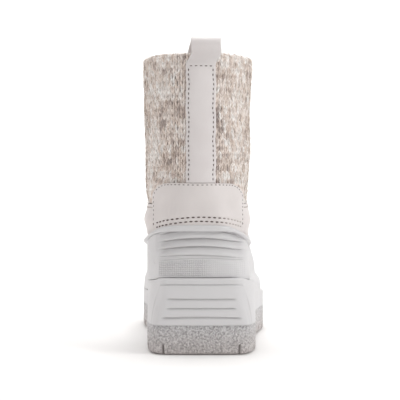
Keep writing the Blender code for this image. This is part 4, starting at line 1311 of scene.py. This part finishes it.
def spaced_along(path, normals, pitch):
    """Places, directions and normals a pitch apart along a fine path."""
    reached = run_length(path)
    count = int(reached[-1] / pitch)
    wanted = (np.arange(count) + 0.5) * reached[-1] / count

    def read(columns, at):
        return np.stack([np.interp(at, reached, columns[:, k]) for k in range(3)], axis=-1)

    directions = unit(read(path, wanted + pitch * 0.2) - read(path, wanted - pitch * 0.2))
    normal = read(normals, wanted)
    normal -= directions * (normal * directions).sum(axis=-1, keepdims=True)
    return read(path, wanted), directions, unit(normal)


def sew(name, kind, path, normals, finish, slot, paling=None):
    """A row of fat stitches along a path, each a six-sided bead sunk by half into what it sews."""
    pitch, length, half = THREADS[kind]
    places, directions, normals = spaced_along(path, normals, pitch)
    along = np.array(STITCH_SHAPE["along"])[:, None]
    lift = half * (0.5 * (1 - (2 * along) ** 2) - 0.25)
    ahead, up = directions[:, None, :], normals[:, None, :]
    middles = places[:, None, :] + ahead * along * length + up * lift
    points = tubes(middles, np.cross(ahead, up), up, half * np.array(STITCH_SHAPE["girth"]), STITCH_SIDES)
    paleness = np.zeros(len(places)) if paling is None else paling(places)
    add_mesh(name, points.reshape(-1, 3), tube_faces(len(places), len(along), STITCH_SIDES), finish,
             values={"paleness": np.repeat(paleness, len(along) * STITCH_SIDES)})


def on_counter(side, height):
    """Points just inside the counter's outer face, and the way out there."""
    angle = angle_at_side(side, height)
    path = offset_surface(angle, height, COUNTER_SEAT + COUNTER_WALL - 0.0002)
    return path, surface_normal(angle, height)


def on_strap(side, height):
    """Points just inside the strap's outer face, and the way out there."""
    side, height = np.broadcast_arrays(side, height)
    back = boot_surface(angle_at_side(side, height), height)[:, 1]
    path = np.column_stack([side, back - (STRAP_CLEAR + STRAP_THICKNESS - 0.00015), height])
    return path, np.tile([0.0, -1.0, 0.0], (len(height), 1))


def make_counter_stitches(thread):
    def paling(places):
        # Paler towards the counter's outer side.
        return 0.85 * smoothstep(0.010, 0.022, places[:, 0])

    side = np.linspace(-COUNTER_INNER_REACH + 0.0030, COUNTER_OUTER_REACH - 0.0020, 200)
    for number, level in enumerate(STITCH_ROWS):
        path, normals = on_counter(side, stitch_row(side, level))
        sew(f"counter_row_{number + 1}", "counter", path, normals, thread, "counter_leather", paling)
    inset = 0.0013
    left, right = -COUNTER_INNER_REACH + inset, COUNTER_OUTER_REACH - inset
    top, corner = COUNTER_HEIGHT - inset, COUNTER_CORNER - inset
    low = 0.0835
    turn = np.linspace(0, math.pi / 2, 40)
    outline = [(left, z) for z in np.linspace(low, top - corner, 40)]
    outline += [(left + corner * (1 - math.cos(t)), top - corner * (1 - math.sin(t))) for t in turn]
    outline += [(x, top) for x in np.linspace(left + corner, right - corner, 60)]
    outline += [(right - corner * (1 - math.sin(t)), top - corner * (1 - math.cos(t))) for t in turn]
    outline += [(right, z) for z in np.linspace(top - corner, low, 40)]
    sew("counter_edge_stitches", "edge", *on_counter(*np.array(outline).T), thread, "counter_leather")


def make_strap_stitches(thread):
    half = STRAP_WIDTH / 2 - STRAP_STITCH_INSET
    height = np.linspace(COUNTER_HEIGHT + 0.0015, LOOP_STITCH_HEIGHT - 0.0010, 300)
    for hand, side in (("inner", -half), ("outer", half)):
        path, normals = on_strap(STRAP_SHIFT + side, height)
        path[:, 0] += strap_wave(height)
        sew(f"strap_stitches_{hand}", "strap", path, normals, thread, "strap_leather")
    path, normals = on_strap(STRAP_SHIFT + np.linspace(-half, half, 100), LOOP_STITCH_HEIGHT)
    sew("strap_stitches_loop", "loop", path, normals, thread, "strap_leather")


def make_seam_stitches(thread):
    """Stitches on the leather just under the knit, from one side of the counter round the front."""
    outer = angle_at_side(COUNTER_OUTER_REACH, SEAM_HEIGHT) + 0.02
    inner = 2 * math.pi + angle_at_side(-COUNTER_INNER_REACH, SEAM_HEIGHT) - 0.02
    angle = np.linspace(outer, inner, 900)
    height = seam_height(along_from_angle(angle)) - 0.0026
    path = offset_surface(angle, height, 0.0)
    sew("seam_stitches", "seam", path, surface_normal(angle, height), thread, "upper_leather")


def thread_finish():
    """Dark taupe thread, made paler at some stitches: on the counter's rows, towards its outer side."""
    dark = srgb(92, 80, 76)
    finish = Finish("thread_taupe", dark, 0.8)
    finish.color(finish.mix(dark, srgb(200, 192, 188), finish.attribute("paleness")))
    return finish.material


thread = thread_finish()
pale_thread = Finish("thread_pale", srgb(178, 168, 162), 0.8).material

make_outsole()
make_shell()
make_upper()
make_counter()
make_pull_strap()
# The knit's ground is coloured darker than the yarn: painted shade between the stitches.
make_knit_ground(plain_cloth("knit_ground_gap_shade", srgb(172, 154, 144), 0.0015, 0.0003))
make_yarns(yarn_finish())
fibres = fibre_finish()
make_fuzz(fibres, "knit_fibres_lying", 4200, True, KNIT_SEED + 1)
make_fuzz(fibres, "knit_fibres_loose", 2400, False, KNIT_SEED + 2)
make_lining(plain_cloth("fleece", srgb(226, 220, 212), 0.0016, 0.0004))
make_counter_stitches(thread)
make_strap_stitches(thread)
make_seam_stitches(pale_thread)


# Floor, light and camera.
def make_floor():
    """A pale floor that curves up into a backdrop behind the boot."""
    mesh = bpy.data.meshes.new("floor")
    reach, depth, rise, bend = 3.0, 1.2, 2.2, 0.6
    turns = np.linspace(0.1, math.pi / 2, 12)
    profile = [(-reach, 0.0), (depth, 0.0)]
    profile += [(depth + bend * math.sin(t), bend * (1 - math.cos(t))) for t in turns]
    profile += [(depth + bend, rise)]
    points = [(x, y, z - 0.0002) for y, z in profile for x in (-reach, reach)]
    faces = [(2 * i, 2 * i + 1, 2 * i + 3, 2 * i + 2) for i in range(len(profile) - 1)]
    mesh.from_pydata(points, [], faces)
    mesh.shade_smooth()
    mesh.materials.append(Finish("floor_white", srgb(246, 245, 244), 0.75).material)
    link("floor", mesh)


def area_light(name, place, target, size, power, color):
    lamp = bpy.data.lights.new(name, "AREA")
    lamp.shape = "RECTANGLE"
    lamp.size, lamp.size_y = size
    lamp.energy = power
    lamp.color = color
    made = link(name, lamp)
    made.location = place
    made.rotation_euler = (Vector(target) - Vector(place)).to_track_quat("-Z", "Y").to_euler()


def make_lights():
    world = bpy.data.worlds.new("studio")
    world.use_nodes = True
    background = world.node_tree.nodes["Background"]
    background.inputs["Color"].default_value = (1.0, 0.99, 0.985, 1.0)
    background.inputs["Strength"].default_value = 0.60
    bpy.context.scene.world = world
    area_light("key", (1.20, -0.60, 1.00), (0.0, -0.05, 0.10), (0.7, 0.9), 7.5, (1.0, 0.995, 0.99))
    area_light("top", (0.0, 0.22, 1.6), (0.0, 0.0, 0.0), (0.8, 0.8), 12.5, (1.0, 1.0, 1.0))
    area_light("backdrop", (0.0, 0.8, 1.5), (0.0, 1.9, 0.7), (2.0, 0.6), 12.0, (1.0, 1.0, 1.0))
    area_light("left_fill", (-1.1, -0.2, 0.6), (0.0, -0.05, 0.08), (0.6, 0.8), 0.8, (1.0, 0.88, 0.86))


SENSOR_WIDTH = 36.0
FOCAL_PIXELS = 1311.0
FRAME_PIXELS = 400.0
CAMERA_BACK = 0.850
CAMERA_HEIGHT = 0.106
HORIZON_PIXEL = 191.6


def make_camera():
    lens = bpy.data.cameras.new("camera")
    lens.sensor_width = SENSOR_WIDTH
    lens.lens = SENSOR_WIDTH * FOCAL_PIXELS / FRAME_PIXELS
    lens.clip_start = 0.01
    made = link("camera", lens)
    made.location = (-MIDDLE_SIDE, -SOLE_LENGTH / 2 - CAMERA_BACK, CAMERA_HEIGHT)
    pitch = math.atan((HORIZON_PIXEL - FRAME_PIXELS / 2) / FOCAL_PIXELS)
    made.rotation_euler = (math.pi / 2 + pitch, 0, 0)
    bpy.context.scene.camera = made


make_floor()
make_lights()
make_camera()
bpy.context.scene.view_settings.view_transform = "Standard"
